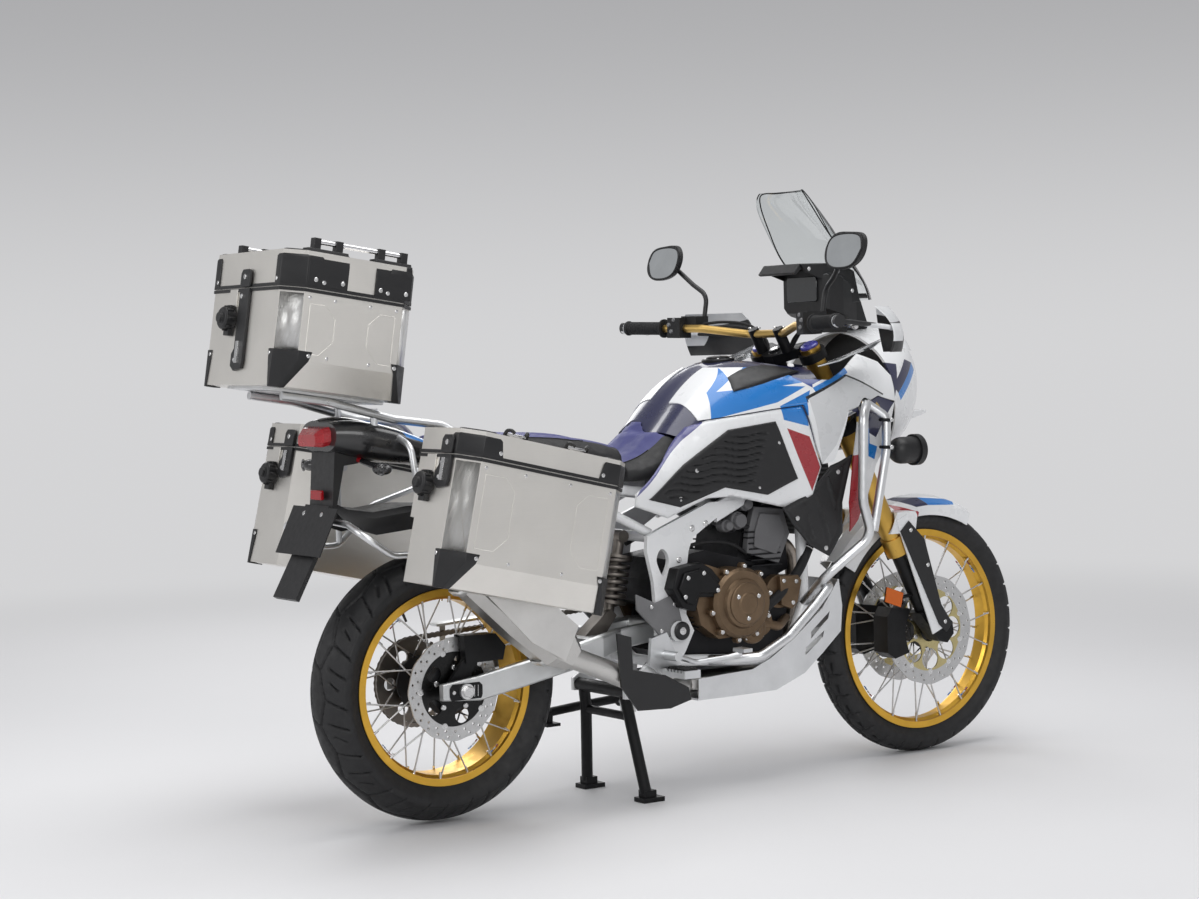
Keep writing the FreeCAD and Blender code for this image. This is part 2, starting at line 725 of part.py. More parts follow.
def smooth_guard(side):
    """A curved hand shield, thin and bowed round the front of the grip."""
    levels = ((1132.0, 6.0, 0.84), (1190.0, 0.0, 1.0), (1250.0, -26.0, 0.66))
    wires = []
    for z, back, wide in levels:
        mid = 330.0
        pts = []
        for offset, sign in ((0.0, 1), (-5.0, -1)):
            span = [(1128 + back, mid + 122 * wide), (1206 + back, mid + 62 * wide),
                    (1232 + back, mid), (1238 + back, mid - 60 * wide)]
            span = span if sign > 0 else list(reversed(span))
            pts += [Vector(px + offset, side * (py + offset * 0.3), z) for px, py in span]
        front, back = (Part.BSplineCurve(), Part.BSplineCurve())
        front.interpolate(pts[:4])
        back.interpolate(pts[4:])
        wires.append(Part.Wire([front.toShape(), Part.LineSegment(pts[3], pts[4]).toShape(), back.toShape(),
                                Part.LineSegment(pts[7], pts[0]).toShape()]))
    return Part.makeLoft(wires, True, False)


def mirror_pod(side, head):
    """A rounded mirror shell facing the rider."""
    outline_pts = [(-78, 6), (-62, 40), (-10, 50), (52, 44), (72, 16), (62, -26), (20, -44), (-48, -38)]
    wires = []
    for depth, scale in ((0.0, 1.0), (12.0, 1.0), (30.0, 0.62)):
        pts = [Vector(head.x + depth + b * scale * 0.28, head.y - side * a * scale, head.z + b * scale)
               for a, b in outline_pts]
        wires.append(smooth_wire(pts))
    return Part.makeLoft(wires, True, True)


# Frame, swingarm and shock

def spar_stations(side, grow):
    """The upper frame beam from the pivot plate to the steering head."""
    offset = size("plate_offset")
    half_plate = size("plate_thickness") / 2
    stations = [(782, offset, 727, half_plate, 26), (930, 118, 790, 13, 27), (1060, 84, 905, 15, 34),
                (1128, 40, 985, 16, 40), (1160, 12, 1010, 14, 36)]
    return [(x, side * y, z, half_y + grow, half_z + grow) for x, y, z, half_y, half_z in stations]


def rail_points(side):
    """The upper rail of the rear frame, from the spar back to the tail."""
    return [(812, side * 100, 738), (700, side * 104, 772), (500, side * 110, 800),
            (120, side * 112, 888), (-230, side * 84, 960)]


def build_frame():
    tube_r = size("frame_tube_radius")
    head_low = on_axis(956.0)
    head = Part.makeCylinder(size("head_tube_radius"), 152, head_low, STEER_UP)
    bore = Part.makeCylinder(size("head_tube_radius") * 0.5 + 2, 200, head_low - STEER_UP * 20, STEER_UP)
    offset = size("plate_offset")
    half_plate = size("plate_thickness") / 2
    sides = []
    for side in (-1, 1):
        y = side * offset
        plate = prism([(559, 677), (595, 694), (681, 726), (756, 754), (843, 756), (792, 719), (735, 686),
                       (701, 665), (688, 634), (680, 586), (676, 470), (700, 425), (672, 375), (640, 330),
                       (600, 330), (578, 380), (584, 450), (575, 560), (556, 640)],
                      y - half_plate, y + half_plate)
        hole = spline_prism([(608, 642), (624, 619), (619, 592), (605, 574), (592, 594), (587, 624)],
                            y - 20, y + 20)
        plate = plate.cut(hole)
        spar = beam(spar_stations(side, 0.0))
        cradle = tube([(1150, side * 24, 985), (1085, side * 100, 740), (1075, side * 124, 470),
                       (1020, side * 124, 350), (940, side * 124, 326), (720, side * 124, 346),
                       (622, side * 124, 352)], tube_r, 60.0)
        sides += [plate, spar, cradle]
    cross = disc_y(598.3, -offset, offset, 672, 14)
    cross_low = disc_y(622, -offset, offset, 345, 14)
    frame = fuse([head] + sides + [cross, cross_low] + stand_brackets()).cut(bore)
    pivot_hole = disc_y(size("pivot_x"), -200, 200, size("pivot_z"), 15.1)
    node("main_frame", frame.cut(pivot_hole))

    rails = []
    for side in (-1, 1):
        rails.append(tube(rail_points(side), 13.0, 80.0))
        rails.append(tube([(584, side * 108, 684), (470, side * 118, 738), (280, side * 116, 796),
                           (60, side * 112, 872)], 12.0, 60.0))
        rails.append(rod((804, side * 96, 741), (804, side * 124, 741), 9))
    links = [disc_y(x, -86 if x < 0 else -108, 86 if x < 0 else 108, z, 9) for x, z in
             ((-200, 954), (120, 888), (420, 816))]
    node("subframe", fuse(rails + links).cut(DRAWN["main_frame"]))

    arms = []
    for side in (-1, 1):
        arms.append(beam([(-62, side * 138, REAR_AXLE_Z + 1, 9, 20), (44, side * 138, REAR_AXLE_Z + 3, 10, 30),
                          (180, side * 132, 364, 14, 31), (320, side * 122, 386, 16, 29),
                          (430, side * 98, 402, 17, 29), (510, side * 64, 414, 16, 26),
                          (664, side * 62, size("pivot_z"), 16, 24)]))
    bridge = slab((398, -104, 384), (452, 104, 424))
    y = size("chain_offset")
    chain_guard = prism([(60, 472), (330, 488), (420, 490), (420, 495), (330, 494), (56, 478)], y - 16, y + 20)
    chain_guard = fuse([chain_guard, slab((300, 109, 400), (322, 114, 492)), slab((84, 110, 390), (100, 114, 477)),
                        slab((84, 110, 366), (100, 130, 392))])
    pivot_tube = disc_y(size("pivot_x"), -80, 80, size("pivot_z"), 24)
    pivot_bolt = disc_y(size("pivot_x"), -152, 152, size("pivot_z"), 15)
    heads = [disc_y(size("pivot_x"), 137.3, 152, size("pivot_z"), 26),
             disc_y(size("pivot_x"), -152, -137.3, size("pivot_z"), 26)]
    axle = disc_y(0, -150, 150, REAR_AXLE_Z, 12.4)
    nuts = [disc_y(0, 146, 158, REAR_AXLE_Z, 19), disc_y(0, -158, -146, REAR_AXLE_Z, 19)]
    sleeves = [disc_y(0, 80.4, 132, REAR_AXLE_Z, 20), disc_y(0, -132, -80.4, REAR_AXLE_Z, 20)]
    arm = fuse(arms + [bridge, pivot_tube, pivot_bolt] + heads + [axle] + nuts + sleeves)
    node("swingarm", fuse([arm, chain_guard]))

    spring = []
    low, high = Vector(524, 0, 468), Vector(568, 0, 672)
    axis = (high - low).normalize()
    spring.append(Part.makeCylinder(14, (high - low).Length, low, axis))
    coil = Part.makeHelix(19.0, 112.0, 34.0)
    start = Part.Wire(Part.makeCircle(6.0, Vector(34, 0, 0), Vector(0, 1, 0.09)))
    coil = Part.Wire(coil.Edges).makePipeShell([start], True, True)
    coil.Placement = Placement(low + axis * 38, Rotation(Vector(0, 0, 1), axis))
    spring.append(coil)
    spring += [Part.makeCylinder(41, 8, low + axis * 32, axis), Part.makeCylinder(41, 8, low + axis * 152, axis)]
    link = prism([(436, 424.4), (500, 424.4), (536, 470), (520, 486), (500, 478)], -24, 24)
    top_eye = disc_y(high.x, -18, 18, high.z, 16)
    node("shock_absorber", fuse(spring + [link, top_eye]))


# Engine

def build_engine():
    half = size("engine_half_width")
    case = prism([(604, 560), (640, 612), (760, 628), (878, 600), (1000, 552), (1034, 470), (1010, 376),
                  (900, 336), (700, 334), (664, 366), (712, 420), (700, 470), (604, 500)], -half, half)
    cylinders = prism([(874, 595), (908, 742), (1030, 732), (1046, 560), (1004, 545)], -half + 12, half - 12)
    head = prism([(906, 740), (926, 800), (1040, 790), (1040, 729)], -half + 14, half - 14)
    y = size("chain_offset")
    pinion_x, pinion_z = 700.0, 452.0
    pinion = disc_y(pinion_x, y - 6, y + 6, pinion_z, size("countershaft_radius") - 5.4)
    shaft = disc_y(pinion_x, 0, y + 8, pinion_z, 12)
    pocket = fuse([disc_y(pinion_x, y - 13, 200, pinion_z, 52), slab((590, y - 13, 392), (700, 200, 506))])
    node("engine_block", fuse([fuse([case, cylinders, head]).cut(pocket), shaft, pinion]))

    depth = size("cover_depth")
    right = -half
    clutch = revolve_y([(right - 0.3, 0), (right - 0.3, 92), (right - depth - 8, 92), (right - depth - 18, 84),
                        (right - depth - 18, 66), (right - depth - 26, 62), (right - depth - 30, 54),
                        (right - depth - 30, 0)], 825, 490)
    flank = prism([(700, 600), (733, 594), (842, 556), (890, 500), (884, 440), (830, 402), (762, 400),
                   (706, 440), (690, 500)], right - depth + 10, right - 0.3)
    water = disc_y(905, right - 46, right - 0.3, 432, 38)
    water_pipe = tube([(905, right - 38, 432), (970, right - 38, 414), (1030, right + 6, 430)], 12, 30)
    pulse = disc_y(985, right - 26, right - 0.3, 505, 44)
    left = half
    generator = revolve_y([(left + 0.3, 0), (left + 0.3, 84), (left + 46, 84), (left + 58, 74), (left + 58, 48),
                           (left + 62, 46), (left + 66, 40), (left + 66, 0)], 850, 478)
    front_cover = prism([(640, 560), (716, 590), (742, 520), (720, 430), (668, 420), (640, 480)],
                        left + 0.3, left + 9)
    right_side = fuse([clutch, flank, water, water_pipe, pulse]).cut(DRAWN["engine_block"])
    node("engine_covers", Part.makeCompound([right_side,
                                             generator, front_cover]))
    bodies = []
    for y in (-55, 55):
        bodies.append(tube([(905, y, 690), (850, y, 712), (800, y, 745)], 30, 40))
    airbox = prism([(700, 772), (812, 750), (870, 790), (862, 850), (720, 850)], -80, 80)
    rail = disc_y(842, -98, 98, 752, 11)
    node("throttle_bodies", fuse(bodies + [airbox, rail]).cut(DRAWN["engine_block"]))

    core = prism([(1134, 840), (1166, 846), (1202, 644), (1170, 638)], -100, 100)
    tank_side = prism([(1132, 844), (1168, 850), (1205, 640), (1168, 634)], 98, 122)
    feet = [rod((1150, side * 110, 720), (1084, side * 100, 716), 8) for side in (-1, 1)]
    feet += [rod((1158, side * 104, 800), (1101, side * 84, 796), 8) for side in (-1, 1)]
    node("radiator", fuse([core, tank_side, mirrored(tank_side)] + feet).cut(DRAWN["main_frame"]))

    pipes = []
    for y in (-48, 48):
        pipes.append(tube([(1030, y, 640), (1092, y, 610), (1106, y * 0.9, 500), (1080, y * 0.7 - 10, 345),
                           (1010, y * 0.5 - 30, 288), (880, y * 0.4 - 50, 282)], 19, 70))
    collector = tube([(890, -52, 282), (760, -60, 282), (700, -80, 281), (640, -150, 282), (560, -206, 290),
                      (440, -214, 330), (330, -222, 376), (244, -236, 408)], 27, 90)
    box = beam([(700, -66, 282, 40, 14), (740, -66, 282, 62, 17), (880, -66, 282, 62, 17), (900, -66, 282, 40, 14)])
    header = fuse(pipes + [collector, box])
    node("exhaust_header", header.cut(DRAWN["engine_block"]))


def build_exhaust():
    shield = prism([(378, 455), (421, 442), (424, 360), (522, 338), (594, 300), (602, 268), (537, 252),
                    (438, 256), (388, 320)], -252, -246)
    flange = prism([(378, 455), (421, 442), (424, 360), (522, 338), (594, 300), (560, 318), (440, 348),
                    (404, 380)], -246, -232)
    header_shield = shield.fuse(flange)
    start, end, along, side, up = muffler_line()
    wires = []
    for share, half_y, half_z in ((0.0, 33, 36), (0.14, 50, 60), (0.45, 52, 64), (0.9, 46, 56), (1.0, 42, 50)):
        centre = start + (end - start) * share
        points = [centre + side * a + up * b for a, b in octagon(half_y, half_z, 0.45 * half_y)]
        wires.append(Part.makePolygon(points + points[:1]))
    can = Part.makeLoft(wires, True, True)
    can = can.cut(Part.makeCylinder(24, 60, end - along * 55, along))
    tip = Part.makeCylinder(24, 74, end - along * 54, along).cut(
        Part.makeCylinder(20, 80, end - along * 50, along))
    inlet_bore = Part.makeCylinder(27.3, 40, start - along * 20, along)
    node("muffler", fuse([can, tip]).cut(inlet_bore).cut(DRAWN["exhaust_header"]))
    corners = [start + along * a + up * b + side * -52.6 for a, b in
               ((60, 58), (330, 58), (372, 20), (330, -34), (150, -50), (40, -30))]
    guard = Part.Face(Part.makePolygon(corners + corners[:1])).extrude(side * -3)
    node("heat_shields", Part.makeCompound([header_shield, guard.cut(DRAWN["muffler"])]))


def muffler_line():
    """Ends and directions of the silencer, rising to the rear beside the wheel."""
    start = Vector(244, -236, 408)
    end = Vector(-92, -262, 678)
    along = (end - start).normalize()
    side = Vector(0, 1, 0)
    up = side.cross(along).normalize()
    if up.z < 0:
        up = up * -1
    side = along.cross(up).normalize()
    if side.y < 0:
        side = side * -1
    return start, end, along, side, up


def build_protection():
    half = 146.0
    skin = 4.0
    outer = [(1180, 524), (1190, 452), (1184, 384), (1119, 330), (1056, 282), (958, 246), (803, 244),
             (700, 244)]
    inner = [(700, 249), (803, 249), (956, 251), (1052, 287), (1115, 335), (1179, 387),
             (1185, 452), (1175, 524)]
    floor = prism(outer + inner, -half, half)
    wall = prism([(704, 300), (780, 304), (880, 308), (940, 331), (1026, 380), (1120, 449), (1175, 520),
                  (1186, 452), (1180, 386), (1117, 333), (1055, 284), (957, 249), (803, 246), (704, 246)],
                 -half, -half + skin)
    slots = [prism([(1060, 330), (1120, 372), (1126, 390), (1060, 348)], -half - 5, -half + 10),
             prism([(1080, 372), (1140, 420), (1146, 440), (1080, 390)], -half - 5, -half + 10)]
    wall = wall.cut(Part.makeCompound(slots))
    node("skid_plate", fuse([floor, wall, mirrored(wall)]))

    radius = size("guard_tube_radius")
    bars = []
    for side in (-1, 1):
        hoop = tube([(1066, side * 84, 905), (1122, side * 176, 946), (1206, side * 250, 1004), (1158, side * 288, 970),
                     (1147, side * 292, 738), (1180, side * 286, 648), (1062, side * 236, 546),
                     (1072, side * 130, 470)], radius, 50.0)
        leg = tube([(1196, side * 254, 998), (1240, side * 284, 960), (1232, side * 290, 870),
                    (1186, side * 287, 660)], radius - 1, 30.0)
        low = tube([(1076, side * 170, 486), (1096, side * 226, 532), (1030, side * 226, 470),
                    (940, side * 224, 394), (850, side * 222, 352), (790, side * 180, 346),
                    (750, side * 132, 344)], radius, 34.0)
        bars.append(fuse([hoop, leg, low]).cut(DRAWN["main_frame"]))
    node("crash_bars", Part.makeCompound(bars))

# Bodywork: one envelope, cut into panels by their side outlines

def envelope_half(inset):
    """Half sections of the bodywork: (x, [(y, z), ...]) from the top line down."""
    stations = [
        (470, [(0, 850), (120, 846), (152, 820), (160, 780), (152, 740), (120, 705), (0, 690)]),
        (600, [(0, 905), (120, 896), (164, 852), (172, 790), (162, 730), (130, 690), (0, 680)]),
        (720, [(0, 1034), (96, 1022), (158, 960), (180, 860), (172, 770), (140, 700), (0, 680)]),
        (850, [(0, 1118), (84, 1104), (168, 1050), (198, 960), (190, 840), (160, 720), (0, 690)]),
        (980, [(0, 1122), (90, 1112), (186, 1068), (224, 990), (212, 860), (170, 700), (0, 680)]),
        (1090, [(0, 1112), (110, 1104), (212, 1070), (254, 990), (240, 860), (176, 650), (0, 620)]),
        (1200, [(0, 1150), (120, 1134), (218, 1082), (256, 1000), (244, 860), (184, 620), (0, 580)]),
        (1310, [(0, 1190), (124, 1160), (212, 1090), (240, 1000), (216, 880), (150, 640), (0, 600)]),
    ]
    result = []
    for x, half in stations:
        shrunk = []
        for y, z in half:
            if y == 0:
                shrunk.append((0, z - inset if z > 950 or z == half[0][1] else z + inset))
            else:
                shrunk.append((y - inset, z))
        result.append((x, shrunk))
    return result


def envelope(inset, x_from=470, x_to=1310):
    sections = [crowned_section(x, half) for x, half in envelope_half(inset) if x_from <= x <= x_to]
    return smooth_loft(sections)


def build_bodywork():
    skin = size("panel_thickness")
    gap = size("panel_gap")
    outer = envelope(0.0)
    inner = envelope(skin)
    core = envelope(skin + gap)
    bar_room = []
    for side in (-1, 1):
        bar_room.append(tube([(1066, side * 84, 905), (1122, side * 176, 946), (1206, side * 250, 1004),
                              (1158, side * 288, 970)], size("guard_tube_radius") + 5, 50.0))
        bar_room.append(tube([(1196, side * 254, 998), (1240, side * 284, 960), (1232, side * 290, 870)],
                             size("guard_tube_radius") + 4, 30.0))
    shell = outer.cut(inner).cut(fuse(bar_room))

    sweep = Part.makeCylinder(150, 420, on_axis(820.0), STEER_UP)
    tank_region = prism([(690, 1030), (640, 940), (760, 880), (1010, 858), (1040, 900), (1090, 1180), (690, 1180)],
                        -300, 300)
    spar_room = fuse([beam(spar_stations(side, 3.0)) for side in (-1, 1)])
    tank = core.common(tank_region).cut(sweep).cut(spar_room)
    node("fuel_tank", tank)

    def panels_prism(points):
        return [prism(points, -330, -40), prism(points, 40, 330)]

    def panels(points):
        return [shell.common(side) for side in panels_prism(points)]

    shroud = [(700, 1040), (717, 968), (905, 990), (943, 994), (1006, 1000), (1040, 895), (1064, 842),
              (1096, 846), (1130, 980), (1250, 1016), (1310, 1000), (1316, 1056), (1290, 1106), (1240, 1128),
              (1170, 1092), (1100, 1062), (1024, 1066), (940, 1100), (760, 1104)]
    wing = [(1000, 997), (1037, 895), (1062, 835), (1044, 762), (985, 727), (807, 768), (726, 767),
            (609, 722), (500, 758), (500, 790), (597, 868), (656, 925), (651, 972), (658, 1004), (697, 1040),
            (714, 965), (905, 987), (943, 991)]
    mesh_rim = [(641, 935), (548, 790), (628, 753), (764, 796), (923, 768), (1025, 797), (960, 951),
                (818, 949), (781, 939), (716, 968)]
    mesh = [(643, 933), (552, 790), (628, 756), (764, 799), (923, 771), (1021, 799), (957, 948),
            (818, 946), (781, 936), (720, 966)]
    front = [(1160, 974), (1157, 862), (1153, 735), (1171, 656), (1192, 692), (1249, 832), (1291, 882),
             (1308, 996), (1250, 1013), (1132, 978)]
    slot_region = [(654, 918), (585, 800), (632, 774), (762, 816), (920, 788), (996, 810), (942, 930),
                   (822, 930), (784, 920), (724, 946)]
    louvres = fuse([fuse(louvre_slots(780, 940, side)) for side in (-1, 1)]).common(fuse(panels_prism(slot_region)))
    rim_cut = fuse(panels_prism(mesh_rim))
    backing = envelope(skin - 0.5).cut(envelope(skin + 3))
    tabs = [backing.common(side) for side in panels_prism([(1255, 990), (1300, 975), (1300, 1030), (1255, 1040)])]
    node("tank_shrouds", fuse(panels(shroud) + panels(front) + tabs))
    mesh_panels = [panel.cut(louvres) for panel in panels(mesh)]
    node("side_panels", Part.makeCompound([panel.cut(rim_cut) for panel in panels(wing)] + mesh_panels))


def louvre_slots(z_low, z_high, side):
    """Wavy slots one above the other, through one side of the bodywork."""
    step, tall, wave, wave_length = 26.0, 9.0, 4.0, 110.0
    x0, x1 = 560.0, 1010.0
    count = 16
    slots = []
    z = z_low
    while z < z_high:
        xs = [x0 + (x1 - x0) * i / count for i in range(count + 1)]
        upper = [(x, z + tall + wave * math.sin(2 * math.pi * x / wave_length)) for x in xs]
        lower = [(x, z + wave * math.sin(2 * math.pi * x / wave_length)) for x in xs]
        slots.append(prism(upper + list(reversed(lower)), side * 120, side * 330))
        z += step
    return slots


def build_front_cowl():
    sections = [
        (1310.4, [(0, 1190), (124, 1160), (212, 1090), (240, 1000), (216, 896), (120, 850), (0, 846)]),
        (1390, [(0, 1204), (110, 1176), (184, 1106), (204, 1020), (180, 920), (110, 866), (0, 860)]),
        (1460, [(0, 1200), (90, 1176), (142, 1110), (156, 1030), (136, 950), (86, 904), (0, 896)]),
        (1520, [(0, 1166), (50, 1150), (84, 1104), (92, 1050), (80, 1000), (50, 964), (0, 956)]),
    ]
    outer = smooth_loft([crowned_section(x, half) for x, half in sections])
    thin = []
    for x, half in sections:
        thin.append((x, [(max(0, y - 5), z - (5 if z > 1030 else -5)) for y, z in half]))
    inner = smooth_loft([crowned_section(x, half) for x, half in thin])
    cowl = outer.cut(inner)
    sweep = Part.makeCylinder(152, 620, on_axis(780.0), STEER_UP)
    cowl = cowl.cut(prism([(1398, 1132), (1428, 958), (1600, 958), (1600, 1132)], -135, 135))
    beak = beam([(1440, 0, 930, 70, 10), (1520, 0, 950, 54, 12), (1590, 0, 958, 30, 8), (1624, 0, 960, 12, 4)])
    node("front_cowl", fuse([cowl.cut(sweep), beak]))

    lamps = [inner.common(slab((1386, -300, 800), (1395, 300, 1300)))]
    for side in (-1, 1):
        lamps.append(beam([(1394, side * 66, 1046, 50, 66), (1460, side * 62, 1046, 46, 62),
                           (1500, side * 46, 1052, 32, 46)], 0.6))
    lamps = [fuse(lamps)]
    for side in (-1, 1):
        centre = Vector(1300, side * 272, 868)
        barrel = Part.makeCylinder(36, 40, centre, Vector(1, 0, 0))
        hood = Part.makeCylinder(42, 18, centre + Vector(40, 0, 0), Vector(1, 0, 0))
        back = Part.makeSphere(36, centre)
        clamp = rod((1232, side * 290, 880), tuple(centre), 9)
        lamps.append(fuse([barrel, hood, back, clamp]).cut(DRAWN["crash_bars"]))
    node("front_lamps", Part.makeCompound(lamps))
    levels = ((1274, 1323, 1393, 128), (1330, 1290, 1362, 136), (1400, 1226, 1316, 134),
              (1470, 1178, 1262, 128), (1535, 1140, 1196, 120), (1572, 1128, 1158, 92))
    wires = []
    for z, side_x, front_x, half_y in levels:
        outer_arc = Part.Arc(Vector(side_x, -half_y, z), Vector(front_x, 0, z), Vector(side_x, half_y, z))
        inner_arc = Part.Arc(Vector(side_x - 4, half_y, z), Vector(front_x - 4, 0, z),
                             Vector(side_x - 4, -half_y, z))
        ends = [Part.LineSegment(Vector(side_x, half_y, z), Vector(side_x - 4, half_y, z)),
                Part.LineSegment(Vector(side_x - 4, -half_y, z), Vector(side_x, -half_y, z))]
        wires.append(Part.Wire([outer_arc.toShape(), ends[0].toShape(), inner_arc.toShape(), ends[1].toShape()]))
    screen = Part.makeLoft(wires, True, False)
    node("windscreen", screen)
    dash = beam([(1196, 0, 1300, 84, 58), (1214, 0, 1296, 92, 62), (1262, 0, 1286, 92, 66), (1318, 0, 1262, 80, 60)], 0.25)
    stay = beam([(1300, 0, 1196, 60, 8), (1318, 0, 1238, 60, 40), (1350, 0, 1240, 60, 46), (1372, 0, 1206, 60, 10)])
    above = outer.copy()
    above.translate(Vector(0, 0, 0.3))
    screen_back = screen.copy()
    screen_back.translate(Vector(-0.3, 0, 0))
    arms = []
    for side in (-1, 1):
        arm = rod((1300, side * 60, 1286), (1420, side * 60, 1286), 7).cut(screen_back)
        arms.append(min(arm.Solids, key=lambda solid: solid.CenterOfMass.x))
    node("instruments", fuse([dash, stay.cut(above)] + arms))


def rail_room(gap):
    return fuse([tube(rail_points(side), 13.0 + gap, 80.0) for side in (-1, 1)])


def envelope_band():
    """The room that the side panels take beside the seat."""
    skin = size("panel_thickness") + size("panel_gap")
    band = envelope(-1.0).cut(envelope(skin))
    return band.common(prism([(470, 700), (500, 792), (597, 872), (660, 930), (655, 972), (661, 1006), (760, 1110),
                              (800, 700)], -300, 300))


def build_seats():
    """Soft seats, clear of the tank, the side panels and the rear frame."""
    half = size("seat_half_width")
    rider = [
        (500, [(0, 874), (100, 868), (half - 12, 846), (half - 14, 826), (100, 820), (0, 820)]),
        (580, [(0, 900), (98, 893), (half - 4, 858), (half - 10, 826), (100, 820), (0, 820)]),
        (640, [(0, 952), (88, 942), (half - 10, 876), (half - 22, 830), (96, 822), (0, 822)]),
        (690, [(0, 1006), (74, 994), (half - 22, 900), (half - 34, 850), (90, 842), (0, 842)]),
    ]
    seat = smooth_loft([crowned_section(x, s) for x, s in rider])
    front = prism([(689, 1030), (638.5, 939.5), (760, 877), (800, 1200), (689, 1200)], -300, 300)
    seat = seat.cut(front).cut(rail_room(0.4)).cut(envelope_band()).cut(DRAWN["side_panels"])
    node("rider_seat", max(seat.Solids, key=lambda solid: solid.Volume))
    pillion = [
        (34, [(0, 962), (90, 958), (112, 946), (110, 926), (90, 917), (0, 917)]),
        (160, [(0, 952), (106, 948), (134, 930), (132, 908), (104, 891), (0, 891)]),
        (320, [(0, 938), (114, 934), (half - 8, 912), (half - 10, 874), (108, 854), (0, 854)]),
        (490, [(0, 916), (106, 910), (half - 14, 884), (half - 16, 858), (108, 848), (0, 848)]),
    ]
    seat = smooth_loft([crowned_section(x, s) for x, s in pillion])
    node("passenger_seat", seat.cut(rail_room(0.4)).cut(disc_y(120, -108, 108, 888, 9.4)))


# Tail

def build_tail():
    sections = [
        (20, [(0, 916), (100, 914), (124, 906), (126, 896), (100, 884), (0, 880)]),
        (-110, [(0, 972), (104, 966), (128, 946), (126, 920), (98, 900), (0, 896)]),
        (-230, [(0, 1004), (86, 998), (110, 976), (108, 946), (80, 920), (0, 914)]),
        (-300, [(0, 1002), (66, 996), (86, 980), (84, 956), (62, 936), (0, 932)]),
    ]
    tail = smooth_loft([crowned_section(x, s) for x, s in sections])
    below = tail.copy()
    below.translate(Vector(0, 0, -0.3))
    tail = tail.cut(rail_room(0.3)).cut(disc_y(-200, -86, 86, 954, 9.4))
    node("tail_cowl", tail)
    lamp = beam([(-300.4, 0, 968, 62, 22), (-318, 0, 964, 58, 22), (-334, 0, 958, 44, 14)], 0.5)
    guard = prism([(-180, 905), (-180, 930), (-290, 934), (-300, 800), (-352, 684), (-406, 586), (-396, 580),
                   (-342, 680), (-288, 800), (-266, 896)], -58, 58)
    guard = guard.cut(below)
    tilt = math.radians(25.5)
    out = Vector(-math.cos(tilt), 0, math.sin(tilt))
    top, low = Vector(-313, 0, 797), Vector(-366, 0, 686)

    def leaf(a, b, near, far, half):
        corners = [a + out * near, b + out * near, b + out * far, a + out * far]
        return prism([(c.x, c.z) for c in corners], -half, half)

    plate = leaf(top, low, 0.0, 3.0, 112.5)
    lean = (low - top).normalize()
    holder = leaf(top - lean * 6, low - lean * 30, -11.5, -0.2, 60)
    guard = max(guard.Solids, key=lambda solid: solid.Volume)
    bolts = []
    for side in (-1, 1):
        hole = top + lean * 18 + Vector(0, side * size("plate_hole_spacing") / 2, 0)
        bolts.append(Part.makeCylinder(size("plate_hole_radius"), 60, hole - out * 13, out))
    bolts = Part.makeCompound(bolts)
    node("rear_mudguard", Part.makeCompound([fuse([guard, holder]).cut(bolts), plate.cut(bolts)]))
    lamps = [lamp]
    for side in (-1, 1):
        stem = rod((-226, side * 58.3, 908), (-228, side * 160, 892), 7)
        pod = Part.makeSphere(1.0)
        stretch = Matrix()
        stretch.A11, stretch.A22, stretch.A33 = 20, 34, 15
        pod = pod.transformGeometry(stretch)
        pod.translate(Vector(-230, side * 178, 890))
        lamps.append(fuse([stem, pod]).cut(tail).cut(guard))
    node("rear_lamps", Part.makeCompound(lamps))


def place_case(shape, x, z, pitch):
    shape = shape.copy()
    shape.rotate(Vector(), Vector(0, 1, 0), pitch)
    shape.translate(Vector(x, 0, z))
    return shape


def build_racks():
    pitch = size("top_case_pitch")
    under = -size("top_case_depth") - 0.3
    plate = slab((22, -92, under - 6), (344, 92, under))
    slots = [slab((x, -62, under - 20), (x + 26, 62, under + 20)) for x in (50, 108, 166, 224, 282)]
    plate = place_case(plate.cut(Part.makeCompound(slots)), size("top_case_x"), size("top_case_z"), pitch)
    rails = []
    for side in (-1, 1):
        rails.append(tube([(40, side * 129, 905), (28, side * 129, 950), (-20, side * 108, 984),
                           (-153, side * 100, 1003), (-320, side * 90, 1050), (-440, side * 84, 1069)], 10, 50))
    posts = [rod((-200, side * 92, 976), (-200, side * 92, 1030), 9) for side in (-1, 1)]
    rack = fuse([plate] + rails + posts).cut(DRAWN["subframe"]).cut(DRAWN["tail_cowl"])
    rack = max(rack.Solids, key=lambda solid: solid.Volume)
    hoops = []
    for side in (-1, 1):
        hoops.append(tube([(436, side * 126, 752), (380, side * 164, 800), (160, side * 178, 846),
                           (-60, side * 188, 780), (-150, side * 200, 684), (-226, side * 210, 686),
                           (-300, side * 206, 738), (-300, side * 130, 760), (-300, side * 58.3, 764)], 8, 40))
        hoops.append(tube([(-150, side * 97, 966), (-150, side * 176, 940), (-148, side * 196, 860),
                           (-148, side * 199, 690)], 8, 40))
        for x, z in ((-138, 880), (160, 846)):
            y0, y1 = sorted((side * 180, side * (size("pannier_inner") - 0.3)))
            hoops.append(disc_y(x, y0, y1, z, 10))
    hoop_pair = []
    for pair in (hoops[:4], hoops[4:]):
        hoop_pair.append(fuse(pair).cut(DRAWN["subframe"]).cut(DRAWN["tail_cowl"]))
    node("luggage_racks", Part.makeCompound([rack] + hoop_pair))


# Cases

def case_plan(length, y0, y1):
    """Corner points of a case seen from above, its upright edges cut at 45 degrees."""
    cut = size("case_corner")
    return [(0, y0 + cut), (cut, y0), (length - cut, y0), (length, y0 + cut),
            (length, y1 - cut), (length - cut, y1), (cut, y1), (0, y1 - cut)]


